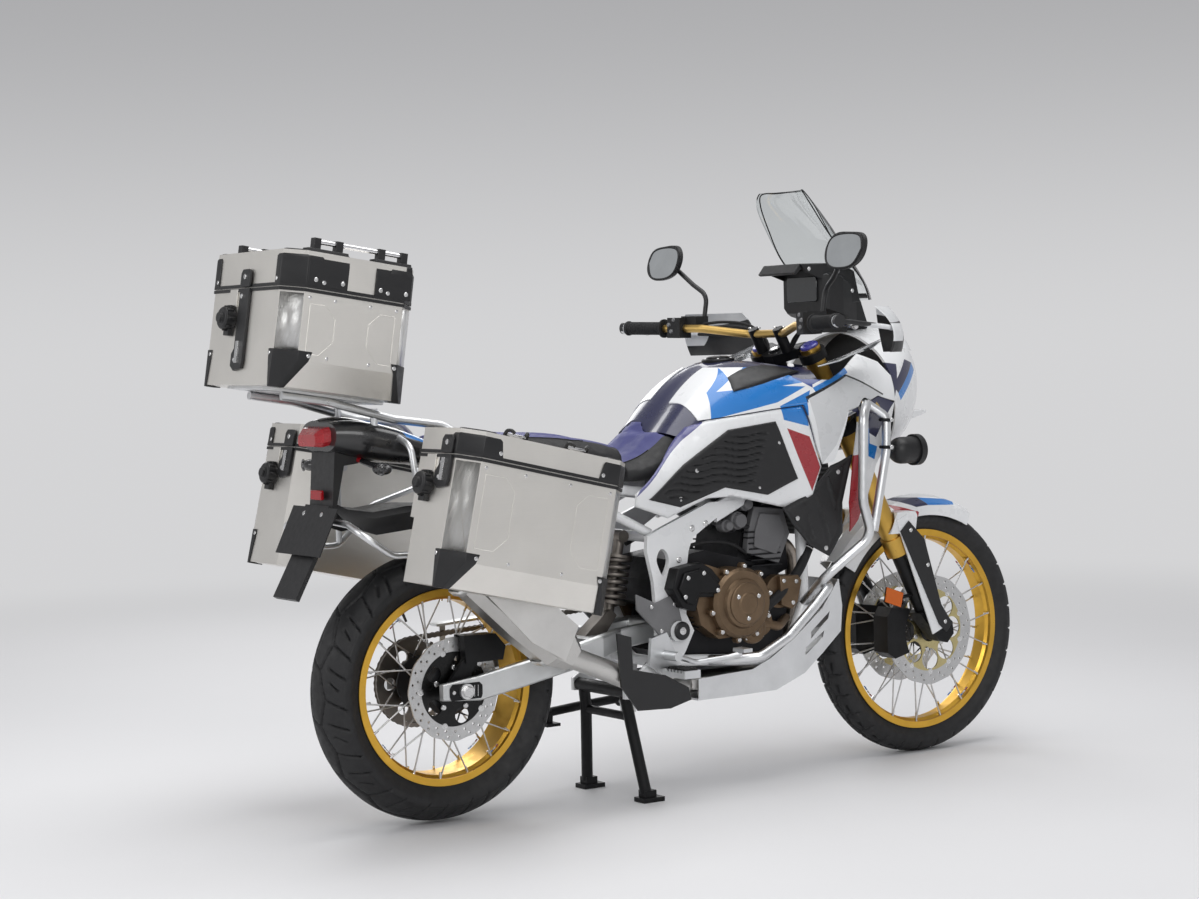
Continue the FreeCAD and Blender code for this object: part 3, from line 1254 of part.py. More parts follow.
def bevel(body, name, edge, outward, depth):
    """Slopes the lower part of a case's side inward."""
    high, deep = size("case_bevel_height"), size("case_bevel_depth")
    beyond = 20.0
    section = [(edge, high - depth), (edge + outward * beyond, high - depth),
               (edge + outward * beyond, -depth - beyond), (edge - outward * deep, -depth - beyond),
               (edge - outward * deep, -depth)]
    pocket(body, draw(body, name, "YZ_Plane", [section]), reverse=True)


def cylinder_y(name, x, y0, y1, z, radius):
    bar = doc.addObject("Part::Cylinder", name)
    bind(bar, "Radius", radius)
    bar.Height = y1 - y0
    bar.Placement = Placement(Vector(x, y0, z), Rotation(Vector(0, 0, 1), Vector(0, 1, 0)))
    return bar


def block(name, low, high):
    box = doc.addObject("Part::Box", name)
    box.Length, box.Width, box.Height = Vector(*high) - Vector(*low)
    box.Placement = Placement(Vector(*low), Rotation())
    return box


def hinge_knuckles(kind, length, y):
    """The case's and the lid's knuckles at the front of the seam, round one pin."""
    radius, half = size("hinge_radius"), size("hinge_width") / 2
    x, z = length + size("hinge_reach"), size("lid_gap") / 2
    root = length - 0.5
    middle = half / 3
    play = size("hinge_gap")
    case_items = [cylinder_y(f"{kind}_pin", x, y - half, y + half, z, "Sizes.hinge_pin_radius")]
    for y0, y1 in ((y - half, y - middle), (y + middle, y + half)):
        case_items.append(cylinder_y(f"{kind}_knuckle", x, y0, y1, z, "Sizes.hinge_radius"))
        case_items.append(block(f"{kind}_leaf", (root, y0, -2 * radius), (x, y1, z)))
    y0, y1 = y - middle + play, y + middle - play
    solid = joined(f"{kind}_lid_knuckle", [cylinder_y(f"{kind}_lid_barrel", x, y0, y1, z, "Sizes.hinge_radius"),
                                           block(f"{kind}_lid_leaf", (root, y0, z), (x, y1, 2 * radius))])
    bored = doc.addObject("Part::Cut", f"{kind}_lid_hinge")
    bored.Base = solid
    bored.Tool = cylinder_y(f"{kind}_bore", x, y - half, y + half, z, "Sizes.hinge_pin_radius + 0.1")
    return case_items, bored


def hang(item, kind, **ties):
    """Tilts a case or lid about its top rear edge and moves it to its place."""
    item.Placement = Placement(Vector(), Rotation(Vector(0, 1, 0), 1.0))
    item.setExpression("Placement.Rotation.Angle", f"Sizes.{kind}_pitch")
    return place(item, x=f"Sizes.{kind}_x - Sizes.centre_x", z=f"Sizes.{kind}_z", **ties)


def case_pair(label, kind, y0, y1, bevelled, recessed, **ties):
    """A case and its lid, folded from sheet of one thickness and joined by a hinge.

    The case beside the silencer has a recess along its inner lower side.
    """
    length, depth = size(f"{kind}_length"), size(f"{kind}_depth")
    box = new_body(f"{label}_box")
    pad(box, draw(box, "plan", "XY_Plane", [case_plan(length, y0, y1)]), f"Sizes.{kind}_depth", reverse=True)
    for name, edge, outward in bevelled:
        bevel(box, name, edge, outward, depth)
    if recessed:
        room = [(-10, -150), (200, -150), (length + 10, 16 - depth), (length + 10, -depth - 10), (-10, -depth - 10)]
        pocket(box, draw(box, "recess", "XZ_Plane", [room]), "Sizes.recess_depth", reverse=True)
    shell(box, "Sizes.pannier_wall", 0.0)
    gap = size("lid_gap")
    lid = new_body(f"{label}_cover")
    pad(lid, draw(lid, "plan", "XY_Plane", [case_plan(length, y0, y1)], gap), f"Sizes.{kind}_lid_height")
    shell(lid, "Sizes.pannier_wall", gap)
    case_items, lid_item = hinge_knuckles(label, length, (y0 + y1) / 2)
    lower, upper = (label, f"{label}_lid") if label == "top_case" else (f"{label}_case", f"{label}_lid")
    keep(hang(joined(lower, [box] + case_items), kind, **ties), lower)
    keep(hang(joined(upper, [lid, lid_item]), kind, **ties), upper)


def build_cases():
    width = size("pannier_outer") - size("pannier_inner")
    case_pair("right_pannier", "pannier", -width, 0.0, [("bevel", -width, -1)], True, y="-Sizes.pannier_inner")
    case_pair("left_pannier", "pannier", 0.0, width, [("bevel", width, 1)], False, y="Sizes.pannier_inner")
    half = size("top_case_half_width")
    case_pair("top_case", "top_case", -half, half, [("left_bevel", half, 1), ("right_bevel", -half, -1)], False)


# Controls and stands

def build_foot_controls():
    pegs = []
    for side in (-1, 1):
        hanger = prism([(556, 418), (604, 430), (646, 346), (644, 318), (592, 320), (548, 350)],
                       side * 137.3, side * 149)
        y0, y1 = sorted((side * 148, side * 236))
        bar = slab((594, y0, 318), (644, y1, 338))
        bar = bar.cut(slab((606, y0 + 8, 300), (632, y1 - 8, 350)))
        notches = [slab((590, y, 332), (650, y + 7, 340)) for y in range(round(y0) + 12, round(y1) - 12, 14)]
        bar = bar.cut(Part.makeCompound(notches))
        pegs.append(fuse([hanger, bar]).cut(DRAWN["main_frame"]))
    brake = tube([(600, -196, 372), (660, -196, 352), (740, -222, 360), (776, -236, 368)], 7, 30)
    brake_pad = slab((764, -262, 372), (792, -216, 382))
    pivot = disc_y(600, -204, -149.3, 372, 12)
    shift = tube([(600, 186, 372), (680, 190, 352), (760, 196, 372)], 6, 30)
    shift_peg = disc_y(762, 190, 236, 374, 8)
    pivot_left = disc_y(600, 149.3, 190, 372, 11)
    levers = [fuse([brake, brake_pad, pivot]), fuse([shift, shift_peg, pivot_left])]
    node("foot_controls", Part.makeCompound(pegs + levers))


def build_rear_brake():
    y = -size("rear_disc_offset")
    block = prism([(14, 470), (106, 468), (134, 436), (126, 402), (20, 402)], y - 30, y + 16)
    slot = ring((0, y, REAR_AXLE_Z), (0, 1, 0), size("rear_disc_radius") + 4, 30, size("disc_thickness") + 6)
    hanger = prism([(-24, REAR_AXLE_Z - 8), (-24, REAR_AXLE_Z + 24), (20, 418), (60, 418), (30, REAR_AXLE_Z + 24),
                    (26, REAR_AXLE_Z - 8)], y - 13, y - 25).cut(
        disc_y(0, -200, 0, REAR_AXLE_Z, 20.1))
    node("rear_caliper", fuse([block.cut(slot), hanger]))


def chain_line(rear, front, rear_radius, front_radius):
    """The chain's centre line as a function of the way along it, and its whole length."""
    span = front - rear
    angle = math.atan2(span.z, span.x)
    lean = math.asin((rear_radius - front_radius) / span.Length)
    top = angle + math.pi / 2 - lean
    bottom = angle - math.pi / 2 + lean
    run = span.Length * math.cos(lean)
    front_arc = front_radius * (top - bottom)
    rear_arc = rear_radius * (2 * math.pi - top + bottom)

    def polar(centre, radius, turn, offset):
        return Vector(centre.x + (radius + offset) * math.cos(turn), 0, centre.z + (radius + offset) * math.sin(turn))

    def at(way, offset):
        if way < run:
            start, end = (polar(c, r, top, offset) for c, r in ((rear, rear_radius), (front, front_radius)))
            return start + (end - start) * (way / run)
        way -= run
        if way < front_arc:
            return polar(front, front_radius, top - way / front_radius, offset)
        way -= front_arc
        if way < run:
            start, end = (polar(c, r, bottom, offset) for c, r in ((front, front_radius), (rear, rear_radius)))
            return start + (end - start) * (way / run)
        way -= run
        return polar(rear, rear_radius, bottom - way / rear_radius, offset)

    return at, 2 * run + front_arc + rear_arc


def build_chain():
    """Link plates with waisted edges on both sides of a band of rollers, all round."""
    y = size("chain_offset")
    half = size("chain_width") / 2
    plate = size("chain_plate_thickness")
    high = size("chain_plate_half_height")
    rear_radius = size("sprocket_radius") + 3.5
    front_radius = size("countershaft_radius") + 1.5
    at, length = chain_line(Vector(0, 0, REAR_AXLE_Z), Vector(700, 0, 452), rear_radius, front_radius)
    links = round(length / size("chain_pitch"))
    waist = (1.0, 0.86, 0.72, 0.86)

    def band(offsets, low, high_y):
        count = links * len(offsets)
        wires = []
        for sign in (1, -1):
            points = [at(length * i / count, sign * offsets[i % len(offsets)]) for i in range(count)]
            points = [Vector(p.x, low, p.z) for p in points]
            wires.append(Part.makePolygon(points + points[:1]))
        return Part.makeFace(wires, "Part::FaceMakerBullseye").extrude(Vector(0, high_y - low, 0))

    plates = [band([high * share for share in waist], y - half, y - half + plate),
              band([high * share for share in waist], y + half - plate, y + half)]
    rollers = band([high * 0.6], y - half + plate / 2, y + half - plate / 2)
    groove = ring((0, y, REAR_AXLE_Z), (0, 1, 0), size("sprocket_radius") + 3.4, 60, size("sprocket_thickness") + 0.8)
    node("drive_chain", fuse([rollers.cut(groove)] + plates))


def side_stand_axis():
    return Vector(0, 0.9, 0.43).normalize()


def stand_brackets():
    """Lugs and pins that carry both stands, part of the frame."""
    px, pz = size("centre_stand_x"), size("centre_stand_z")
    pieces = [disc_y(px, -123, 123, pz, 9)]
    for side in (-1, 1):
        y0, y1 = sorted((side * 112.4, side * 123.4))
        pieces.append(prism([(px - 18, pz - 16), (px + 16, pz - 18), (px + 110, 326), (px + 150, 336),
                             (px + 150, 372), (px + 60, 352), (px - 18, pz + 16)], y0, y1))
    sx, sy, sz = size("side_stand_x"), size("side_stand_y"), size("side_stand_z")
    base = Vector(sx, sy, sz)
    axis = side_stand_axis()
    pieces.append(prism([(sx - 20, sz - 34), (sx + 20, sz - 34), (sx + 30, 350), (sx - 30, 350)], 112, 126))
    pieces.append(Part.makeCylinder(8, 62, base - axis * 48, axis))
    return pieces


def build_stands():
    leg_r = size("stand_leg_radius")
    px, pz = size("centre_stand_x"), size("centre_stand_z")
    foot_x = px + 40
    legs = []
    for side in (-1, 1):
        leg = tube([(px, side * 92, pz), (px + 10, side * 98, pz - 60), (foot_x - 8, side * 134, 22)], leg_r, 60)
        foot = slab((foot_x - 30, min(side * 112, side * 158), 0), (foot_x + 34, max(side * 112, side * 158), 12))
        sole = slab((foot_x - 20, min(side * 118, side * 150), 10), (foot_x + 14, max(side * 118, side * 150), 30))
        legs += [leg, foot, sole]
    hinge = disc_y(px, -112, 112, pz, 17)
    bar = disc_y(px + 12, -96, 96, pz - 66, 11)
    node("centre_stand", fuse(legs + [hinge, bar]).cut(disc_y(px, -200, 200, pz, 9.1)))
    sx, sy, sz = size("side_stand_x"), size("side_stand_y"), size("side_stand_z")
    hub_axis = side_stand_axis()
    base = Vector(sx, sy, sz)
    knuckle = Part.makeCylinder(17, 24, base - hub_axis * 12, hub_axis)
    tip = sx - size("side_stand_reach")
    leg = tube([tuple(base), (sx - 120, sy - 2, sz - 6), (tip + 20, sy - 3, sz - 14)], 12, 40)
    foot = slab((tip, sy - 24, sz - 50), (tip + 42, sy + 26, sz - 42))
    neck = rod((tip + 20, sy - 3, sz - 14), (tip + 20, sy, sz - 44), 11)
    node("side_stand", fuse([knuckle, leg, neck, foot]).cut(
        Part.makeCylinder(8.1, 120, base - hub_axis * 60, hub_axis)))


build_front_wheel()
build_rear_wheel()
build_fork()
build_front_mudguard()
build_handlebar()
build_frame()
build_engine()
build_exhaust()
build_protection()
build_bodywork()
build_front_cowl()
build_seats()
build_tail()
build_racks()
build_cases()
build_foot_controls()
build_rear_brake()
build_chain()
build_stands()

doc.recompute()

# Checks before anything is written

for item in doc.Objects:
    if "Invalid" in item.State or "Error" in item.State:
        raise RuntimeError(f"{item.Label} failed: {item.State}")
for item in NODES:
    if item.Shape.isNull() or not item.Shape.isValid():
        raise RuntimeError(f"{item.Label} has no valid shape")

os.makedirs("parts", exist_ok=True)
for item in NODES:
    item.Shape.exportStep(f"parts/{item.Label}.step")
print(len(NODES), "sub-parts written")
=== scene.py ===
"""The looks of an adventure motorcycle with luggage cases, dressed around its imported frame."""
import json
import math

import bmesh
import bpy
import numpy as np
from mathutils import Matrix, Vector
from mathutils.bvhtree import BVHTree
from mathutils.geometry import delaunay_2d_cdt


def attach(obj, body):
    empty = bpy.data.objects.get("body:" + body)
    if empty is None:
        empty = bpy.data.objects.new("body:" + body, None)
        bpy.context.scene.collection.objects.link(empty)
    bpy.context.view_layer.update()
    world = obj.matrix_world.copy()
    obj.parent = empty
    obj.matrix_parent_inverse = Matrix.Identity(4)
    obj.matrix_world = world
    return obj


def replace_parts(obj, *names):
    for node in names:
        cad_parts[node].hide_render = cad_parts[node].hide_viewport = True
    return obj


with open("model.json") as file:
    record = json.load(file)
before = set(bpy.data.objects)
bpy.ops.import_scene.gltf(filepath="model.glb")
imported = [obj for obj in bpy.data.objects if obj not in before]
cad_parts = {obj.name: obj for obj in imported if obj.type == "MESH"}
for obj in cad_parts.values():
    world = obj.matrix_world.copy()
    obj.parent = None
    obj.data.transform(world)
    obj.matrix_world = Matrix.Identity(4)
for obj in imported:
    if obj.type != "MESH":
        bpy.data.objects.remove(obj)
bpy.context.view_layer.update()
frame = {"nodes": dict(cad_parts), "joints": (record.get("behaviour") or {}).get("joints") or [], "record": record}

JOINTS = {joint["name"]: joint for joint in frame["joints"]}
BODY_OF = {node: body for body, nodes in frame["record"]["behaviour"]["bodies"].items() for node in nodes}

# Places are measured forward from the rear axle, in millimetres, as in the drawings of the vehicle.
REAR_AXLE = Vector(JOINTS["rear_wheel_spin"]["pos_m"])
FRONT_AXLE = Vector(JOINTS["front_wheel_spin"]["pos_m"])
MM = 0.001
MEASURE = Matrix.Translation((REAR_AXLE.x, 0, 0)) @ Matrix.Scale(MM, 4)
WHEELBASE = (FRONT_AXLE.x - REAR_AXLE.x) / MM
REAR_AXLE_Z = REAR_AXLE.z / MM
FRONT_AXLE_Z = FRONT_AXLE.z / MM
SIDES = (-1, 1)


def at(x, y, z):
    """A point given in millimetres forward of the rear axle, left of the middle and above the floor."""
    return MEASURE @ Vector((x, y, z))


# Materials
class Look:
    """A procedural material around one surface shader."""

    def __init__(self, name, color, rough, metal=0.0, coat=0.0):
        self.material = bpy.data.materials.new(name)
        self.material.use_nodes = True
        self.tree = self.material.node_tree
        self.shader = self.tree.nodes["Principled BSDF"]
        self.color = None
        self.heights = []
        self.put("Base Color", (*color, 1.0))
        self.put("Roughness", rough)
        self.put("Metallic", metal)
        if coat:
            self.put("Coat Weight", coat)
            self.put("Coat Roughness", 0.04)
        self.place = self.tree.nodes.new("ShaderNodeTexCoord").outputs["Object"]

    def put(self, socket, value):
        self.shader.inputs[socket].default_value = value
        return self

    def add(self, kind, inputs=(), **settings):
        """A node with its settings, and its inputs given as values or as other nodes' outputs."""
        node = self.tree.nodes.new(kind)
        for key, value in settings.items():
            setattr(node, key, value)
        for key, value in dict(inputs).items():
            if isinstance(value, bpy.types.NodeSocket):
                self.tree.links.new(value, node.inputs[key])
            else:
                node.inputs[key].default_value = value
        return node

    def calculate(self, operation, first, second):
        return self.add("ShaderNodeMath", {0: first, 1: second}, operation=operation).outputs[0]

    def noise(self, scale, detail, where=None):
        return self.add("ShaderNodeTexNoise", {"Vector": where or self.place, "Scale": scale,
                                               "Detail": detail, "Roughness": 0.55}).outputs["Fac"]

    def spread(self, value, low, high, start=0.3, end=0.7):
        """A value moved from one range of numbers to another, and held inside it."""
        return self.add("ShaderNodeMapRange", {"Value": value, "From Min": start, "From Max": end,
                                               "To Min": low, "To Max": high}).outputs[0]

    def base(self):
        """What feeds the base colour so far, an output or a plain colour."""
        if self.color is not None:
            return self.color
        return tuple(self.shader.inputs["Base Color"].default_value)

    def mixed(self, share, color, **settings):
        """Mixes a colour into the base colour."""
        mix = self.add("ShaderNodeMix", {0: share, 6: self.base(), 7: color}, data_type="RGBA", **settings)
        self.color = mix.outputs[2]
        self.tree.links.new(self.color, self.shader.inputs["Base Color"])
        return self

    def paint(self, mask, color):
        """Another colour where the mask is 1."""
        return self.mixed(mask, (*color, 1.0))

    def cloudy(self, amount, scale):
        """Slow changes of brightness, as every real finish has."""
        shade = self.spread(self.noise(scale, 5.0), 1.0 - amount, 1.0 + amount)
        gray = self.add("ShaderNodeCombineColor", {0: shade, 1: shade, 2: shade}).outputs[0]
        return self.mixed(1.0, gray, blend_type="MULTIPLY")

    def uneven(self, low, high, scale=30.0, where=None):
        value = self.spread(self.noise(scale, 5.0, where), low, high)
        self.tree.links.new(value, self.shader.inputs["Roughness"])
        return self

    def rise(self, value, depth):
        """Height for the surface, in metres; several add up."""
        self.heights.append((value, depth))
        return self

    def grain(self, scale, depth, detail=3.0, where=None):
        return self.rise(self.noise(scale, detail, where), depth)

    def brushed(self, along, depth, scale, low, high):
        """Fine parallel scratches; along says which direction they run in."""
        fine = [1.0, 1.0, 1.0]
        fine["xyz".index(along)] = 0.012
        where = self.add("ShaderNodeMapping", {"Vector": self.place, "Scale": fine}).outputs[0]
        self.uneven(low, high, scale, where)
        return self.grain(scale * 1.6, depth, 6.0, where)

    def done(self):
        """Joins the heights into one bump and returns the material."""
        normal = None
        for value, depth in self.heights:
            inputs = {"Height": value, "Distance": depth, "Strength": 1.0}
            if normal is not None:
                inputs["Normal"] = normal
            normal = self.add("ShaderNodeBump", inputs).outputs[0]
        if normal is not None:
            self.tree.links.new(normal, self.shader.inputs["Normal"])
        return self.material


AREA_EDGE = 0.4 * MM
AXLE_EDGE = 0.3


def area(look, corners, plane="xz"):
    """A mask that is 1 inside a convex outline, given clockwise or not, in the vehicle's millimetres."""
    first, second = ("xyz".index(letter) for letter in plane)
    shift = REAR_AXLE.x if plane[0] == "x" else 0.0
    points = [(a * MM + shift, b * MM) for a, b in corners]
    turn = sum(a[0] * b[1] - b[0] * a[1] for a, b in zip(points, points[1:] + points[:1]))
    sign = 1.0 if turn > 0 else -1.0
    inside = None
    for (a0, b0), (a1, b1) in zip(points, points[1:] + points[:1]):
        length = math.hypot(a1 - a0, b1 - b0)
        normal = [0.0, 0.0, 0.0]
        normal[first] = -(b1 - b0) / length * sign
        normal[second] = (a1 - a0) / length * sign
        dot = look.add("ShaderNodeVectorMath", {0: look.place, 1: normal}, operation="DOT_PRODUCT")
        side = look.calculate("SUBTRACT", dot.outputs["Value"], normal[first] * a0 + normal[second] * b0)
        inside = side if inside is None else look.calculate("MINIMUM", inside, side)
    return look.spread(inside, 0.0, 1.0, -AREA_EDGE, AREA_EDGE)


def region(look, *outlines):
    """A mask over several convex outlines together."""
    mask = area(look, outlines[0])
    for outline in outlines[1:]:
        mask = look.calculate("MAXIMUM", mask, area(look, outline))
    return mask


def near_axle(look, axle, radius):
    """A mask that is 1 within a radius of an axle."""
    flat = look.add("ShaderNodeVectorMath", {0: look.place, 1: (1, 0, 1)}, operation="MULTIPLY").outputs[0]
    middle = (axle.x, 0.0, axle.z)
    gone = look.add("ShaderNodeVectorMath", {0: flat, 1: middle}, operation="DISTANCE").outputs["Value"]
    return look.spread(gone, 1.0, 0.0, (radius - AXLE_EDGE) * MM, (radius + AXLE_EDGE) * MM)


WHITE = (0.80, 0.81, 0.82)
NAVY = (0.020, 0.022, 0.065)
VIOLET = (0.095, 0.095, 0.25)
AZURE = (0.018, 0.19, 0.56)
DEEP_BLUE = (0.012, 0.045, 0.25)
RED = (0.33, 0.012, 0.02)
GOLD = (0.52, 0.34, 0.06)
BLACK = (0.012, 0.012, 0.013)
SILVER = (0.62, 0.63, 0.64)


def tyre_rubber():
    look = Look("tyre rubber", (0.011, 0.011, 0.012), 0.62)
    return look.cloudy(0.25, 30).uneven(0.5, 0.74, 60).grain(900, 0.00008).done()


def gold(name, color, rough):
    look = Look(name, color, rough, 1.0)
    return look.cloudy(0.08, 14).uneven(rough - 0.07, rough + 0.09, 40).grain(700, 0.00001).done()


def satin_metal(name, color, rough, grain=0.00002, scale=500):
    look = Look(name, color, rough, 1.0)
    return look.cloudy(0.07, 12).uneven(rough - 0.08, rough + 0.1, 45).grain(scale, grain).done()


def cast_metal(name, color, rough, metal=0.6):
    look = Look(name, color, rough, metal)
    return look.cloudy(0.14, 25).uneven(rough - 0.07, rough + 0.12, 60).grain(650, 0.00006, 4).done()


def plastic(name, color, rough, grain=0.00005, scale=1400, coat=0.0):
    look = Look(name, color, rough, 0.0, coat)
    return look.cloudy(0.1, 18).uneven(rough - 0.06, rough + 0.08, 70).grain(scale, grain).done()


def painted(name, base, *layers):
    """Gloss paint, with coloured fields if any, each a colour and its convex outlines."""
    look = Look(name, base, 0.28, 0.0, 0.6)
    for color, *outlines in layers:
        look.paint(region(look, *outlines), color)
    return look.cloudy(0.03, 6).uneven(0.24, 0.34, 20).grain(380, 0.000006).done()


def brushed_metal(name, color, along):
    look = Look(name, color, 0.4, 1.0)
    return look.cloudy(0.05, 5).brushed(along, 0.000008, 900, 0.3, 0.52).done()


def clear_plastic(name, color, rough, weight=1.0):
    look = Look(name, color, rough)
    look.put("Transmission Weight", weight).put("IOR", 1.45)
    return look.uneven(max(0.0, rough - 0.01), rough + 0.02, 12).grain(60, 0.000004).done()


def disc_steel(name, axle, carrier, carrier_radius):
    """Ground steel outside, and a coloured carrier inside a radius."""
    look = Look(name, (0.56, 0.56, 0.56), 0.33, 1.0)
    look.paint(near_axle(look, axle, carrier_radius), carrier)
    return look.cloudy(0.06, 30).uneven(0.24, 0.42, 160).grain(1200, 0.00001).done()


def seat_cover():
    """Grained cover, violet on top and black down the sides, under the seat's edge line."""
    look = Look("seat cover", BLACK, 0.62)
    across = look.add("ShaderNodeSeparateXYZ", {0: look.place}).outputs[1]
    across = look.calculate("ABSOLUTE", across, 0.0)
    look.paint(look.spread(across, 1.0, 0.0, 0.1035, 0.1045), (0.055, 0.058, 0.19))
    return look.cloudy(0.08, 14).uneven(0.5, 0.68, 60).grain(900, 0.00012).done()


def hub_and_spokes(name, axle, radius):
    """Black hub in the middle, bright steel spokes outside it."""
    look = Look(name, (0.60, 0.60, 0.60), 0.3, 1.0)
    inside = near_axle(look, axle, radius)
    look.paint(inside, (0.018, 0.018, 0.02))
    look.tree.links.new(look.calculate("SUBTRACT", 1.0, inside), look.shader.inputs["Metallic"])
    return look.cloudy(0.1, 25).uneven(0.28, 0.44, 60).grain(600, 0.00003).done()


def silencer_shield():
    """Black plastic before the swingarm, brushed steel along the silencer."""
    look = Look("heat shield", (0.010, 0.010, 0.011), 0.45)
    steel = area(look, [(-260, 300), (345, 300), (345, 900), (-260, 900)])
    look.paint(steel, (0.70, 0.69, 0.67))
    look.tree.links.new(steel, look.shader.inputs["Metallic"])
    return look.cloudy(0.06, 12).uneven(0.3, 0.46, 60).grain(900, 0.00003).done()


def tail_lamp():
    """Red lens in the middle, black stalks and housings to the sides."""
    look = Look("tail lamp", (0.008, 0.008, 0.009), 0.3, 0.0, 0.4)
    look.paint(area(look, [(-75, 700), (75, 700), (75, 1100), (-75, 1100)], "yz"), (0.36, 0.008, 0.014))
    ribs = look.add("ShaderNodeTexWave", {"Vector": look.place, "Scale": 40.0}, bands_direction="Z")
    return look.cloudy(0.08, 30).rise(ribs.outputs["Fac"], 0.0002).uneven(0.18, 0.32, 60).done()


def radiator_core():
    """Flat tubes and fins, as fine waves one across the other."""
    look = Look("radiator core", (0.022, 0.022, 0.022), 0.55, 0.4)
    tubes = look.add("ShaderNodeTexWave", {"Vector": look.place, "Scale": 28.0}, bands_direction="Z")
    fins = look.add("ShaderNodeTexWave", {"Vector": look.place, "Scale": 120.0}, bands_direction="Y")
    look.paint(look.spread(tubes.outputs["Fac"], 0.0, 1.0), (0.06, 0.06, 0.06))
    return look.rise(tubes.outputs["Fac"], 0.0012).rise(fins.outputs["Fac"], 0.0006).uneven(0.45, 0.6).done()


def exhaust_steel():
    """Brushed steel, browner near the engine where it has been hot."""
    look = Look("exhaust steel", (0.62, 0.61, 0.59), 0.34, 1.0)
    along = look.add("ShaderNodeSeparateXYZ", {0: look.place}).outputs[0]
    look.paint(look.spread(along, 0.0, 0.75, 0.05, 0.4), (0.30, 0.24, 0.19))
    return look.cloudy(0.06, 8).brushed("x", 0.000008, 600, 0.26, 0.44).done()


def guard_paint():
    """Black guards with a grey top facet and a white outer end."""
    look = Look("hand guard", (0.016, 0.016, 0.017), 0.42)
    for color, outline in GUARD_FIELDS:
        for side in SIDES:
            look.paint(area(look, [(side * y, z) for y, z in outline], "yz"), color)
    return look.cloudy(0.08, 16).uneven(0.34, 0.5, 60).grain(1200, 0.00004).done()


# Each field is a colour and its convex outlines in side view. Stripes run from the shroud to the side skin.
STRIPES = (
    (AZURE, [(939, 998), (1032, 1037), (1016, 1005)], [(939, 998), (1016, 1005), (1015, 943), (946, 962)]),
    (RED, [(955, 940), (1019, 916), (1058, 834), (1039, 771)]),
)
SHROUD_FIELDS = (
    (AZURE, [(763, 1038), (839, 1102), (892, 1110), (829, 1069), (819, 1034)],
     [(747, 969), (934, 1008), (1023, 1047), (932, 1052), (763, 1038)],
     [(829, 1069), (819, 1034), (932, 1047), (1023, 1047), (1010, 1090), (900, 1104)]),
    (DEEP_BLUE, [(1002, 1071), (1042, 1043), (1060, 1100), (1010, 1110)],
     [(1042, 1050), (1165, 1096), (1160, 1130), (1050, 1110)]),
    (AZURE, [(1042, 1043), (1048, 1024), (1165, 1080), (1168, 1092)]),
    *STRIPES,
    (BLACK, [(1034, 1044), (1014, 1020), (1020, 985), (1060, 838), (1068, 842), (1026, 985), (1022, 1015)],
     [(1014, 1020), (1153, 1075), (1153, 1070), (1020, 1012)],
     [(1153, 1076), (1274, 1020), (1270, 1016), (1153, 1069)]),
    (SILVER, [(1022, 1015), (1153, 1070), (1270, 1017), (1126, 975)],
     [(1022, 1015), (1126, 975), (1097, 891), (1063, 842), (1026, 985)]),
)
COLUMN_FIELDS = (
    (NAVY, [(1134, 981), (1168, 941), (1176, 930), (1240, 905), (1310, 1000), (1250, 1016)]),
    (GOLD, [(1150, 960), (1180, 925), (1196, 930), (1168, 966)],
     [(1225, 985), (1285, 930), (1296, 945), (1240, 1000)]),
    (AZURE, [(1168, 935), (1178, 872), (1215, 880), (1205, 930)],
     [(1200, 860), (1240, 846), (1250, 880), (1212, 890)]),
    (RED, [(1150, 860), (1178, 862), (1212, 790), (1184, 660), (1150, 640)]),
)
WING_FIELDS = (
    (VIOLET, [(502, 782), (669, 920), (672, 985), (560, 880)],
     [(669, 920), (726, 962), (759, 1044), (700, 1052), (650, 990)],
     [(759, 1044), (842, 1103), (844, 1120), (700, 1050)]),
    *STRIPES,
)
COWL_FIELDS = (
    (NAVY, [(1185, 1092), (1263, 1108), (1350, 1098), (1330, 1048), (1303, 995), (1261, 1024)],
     [(1310, 1040), (1400, 1110), (1440, 1100), (1330, 1020)]),
    (AZURE, [(1330, 1020), (1440, 1100), (1452, 1080), (1340, 1000)]),
)
FENDER_FIELDS = (
    (NAVY, [(1462, 722), (1562, 719), (1585, 697), (1540, 694)]),
    (AZURE, [(1562, 719), (1700, 706), (1690, 692), (1585, 697)]),
    (RED, [(1455, 706), (1548, 680), (1530, 640), (1500, 630)]),
)
TAIL_FIELD = (AZURE, [(-136, 986), (-46, 966), (-62, 938), (-130, 960)])
# The hand guards' fields are seen from the front.
GUARD_FIELDS = (
    (SILVER, [(270, 1232), (460, 1206), (460, 1262), (270, 1262)]),
    (WHITE, [(408, 1206), (470, 1206), (470, 1160), (424, 1160)]),
)

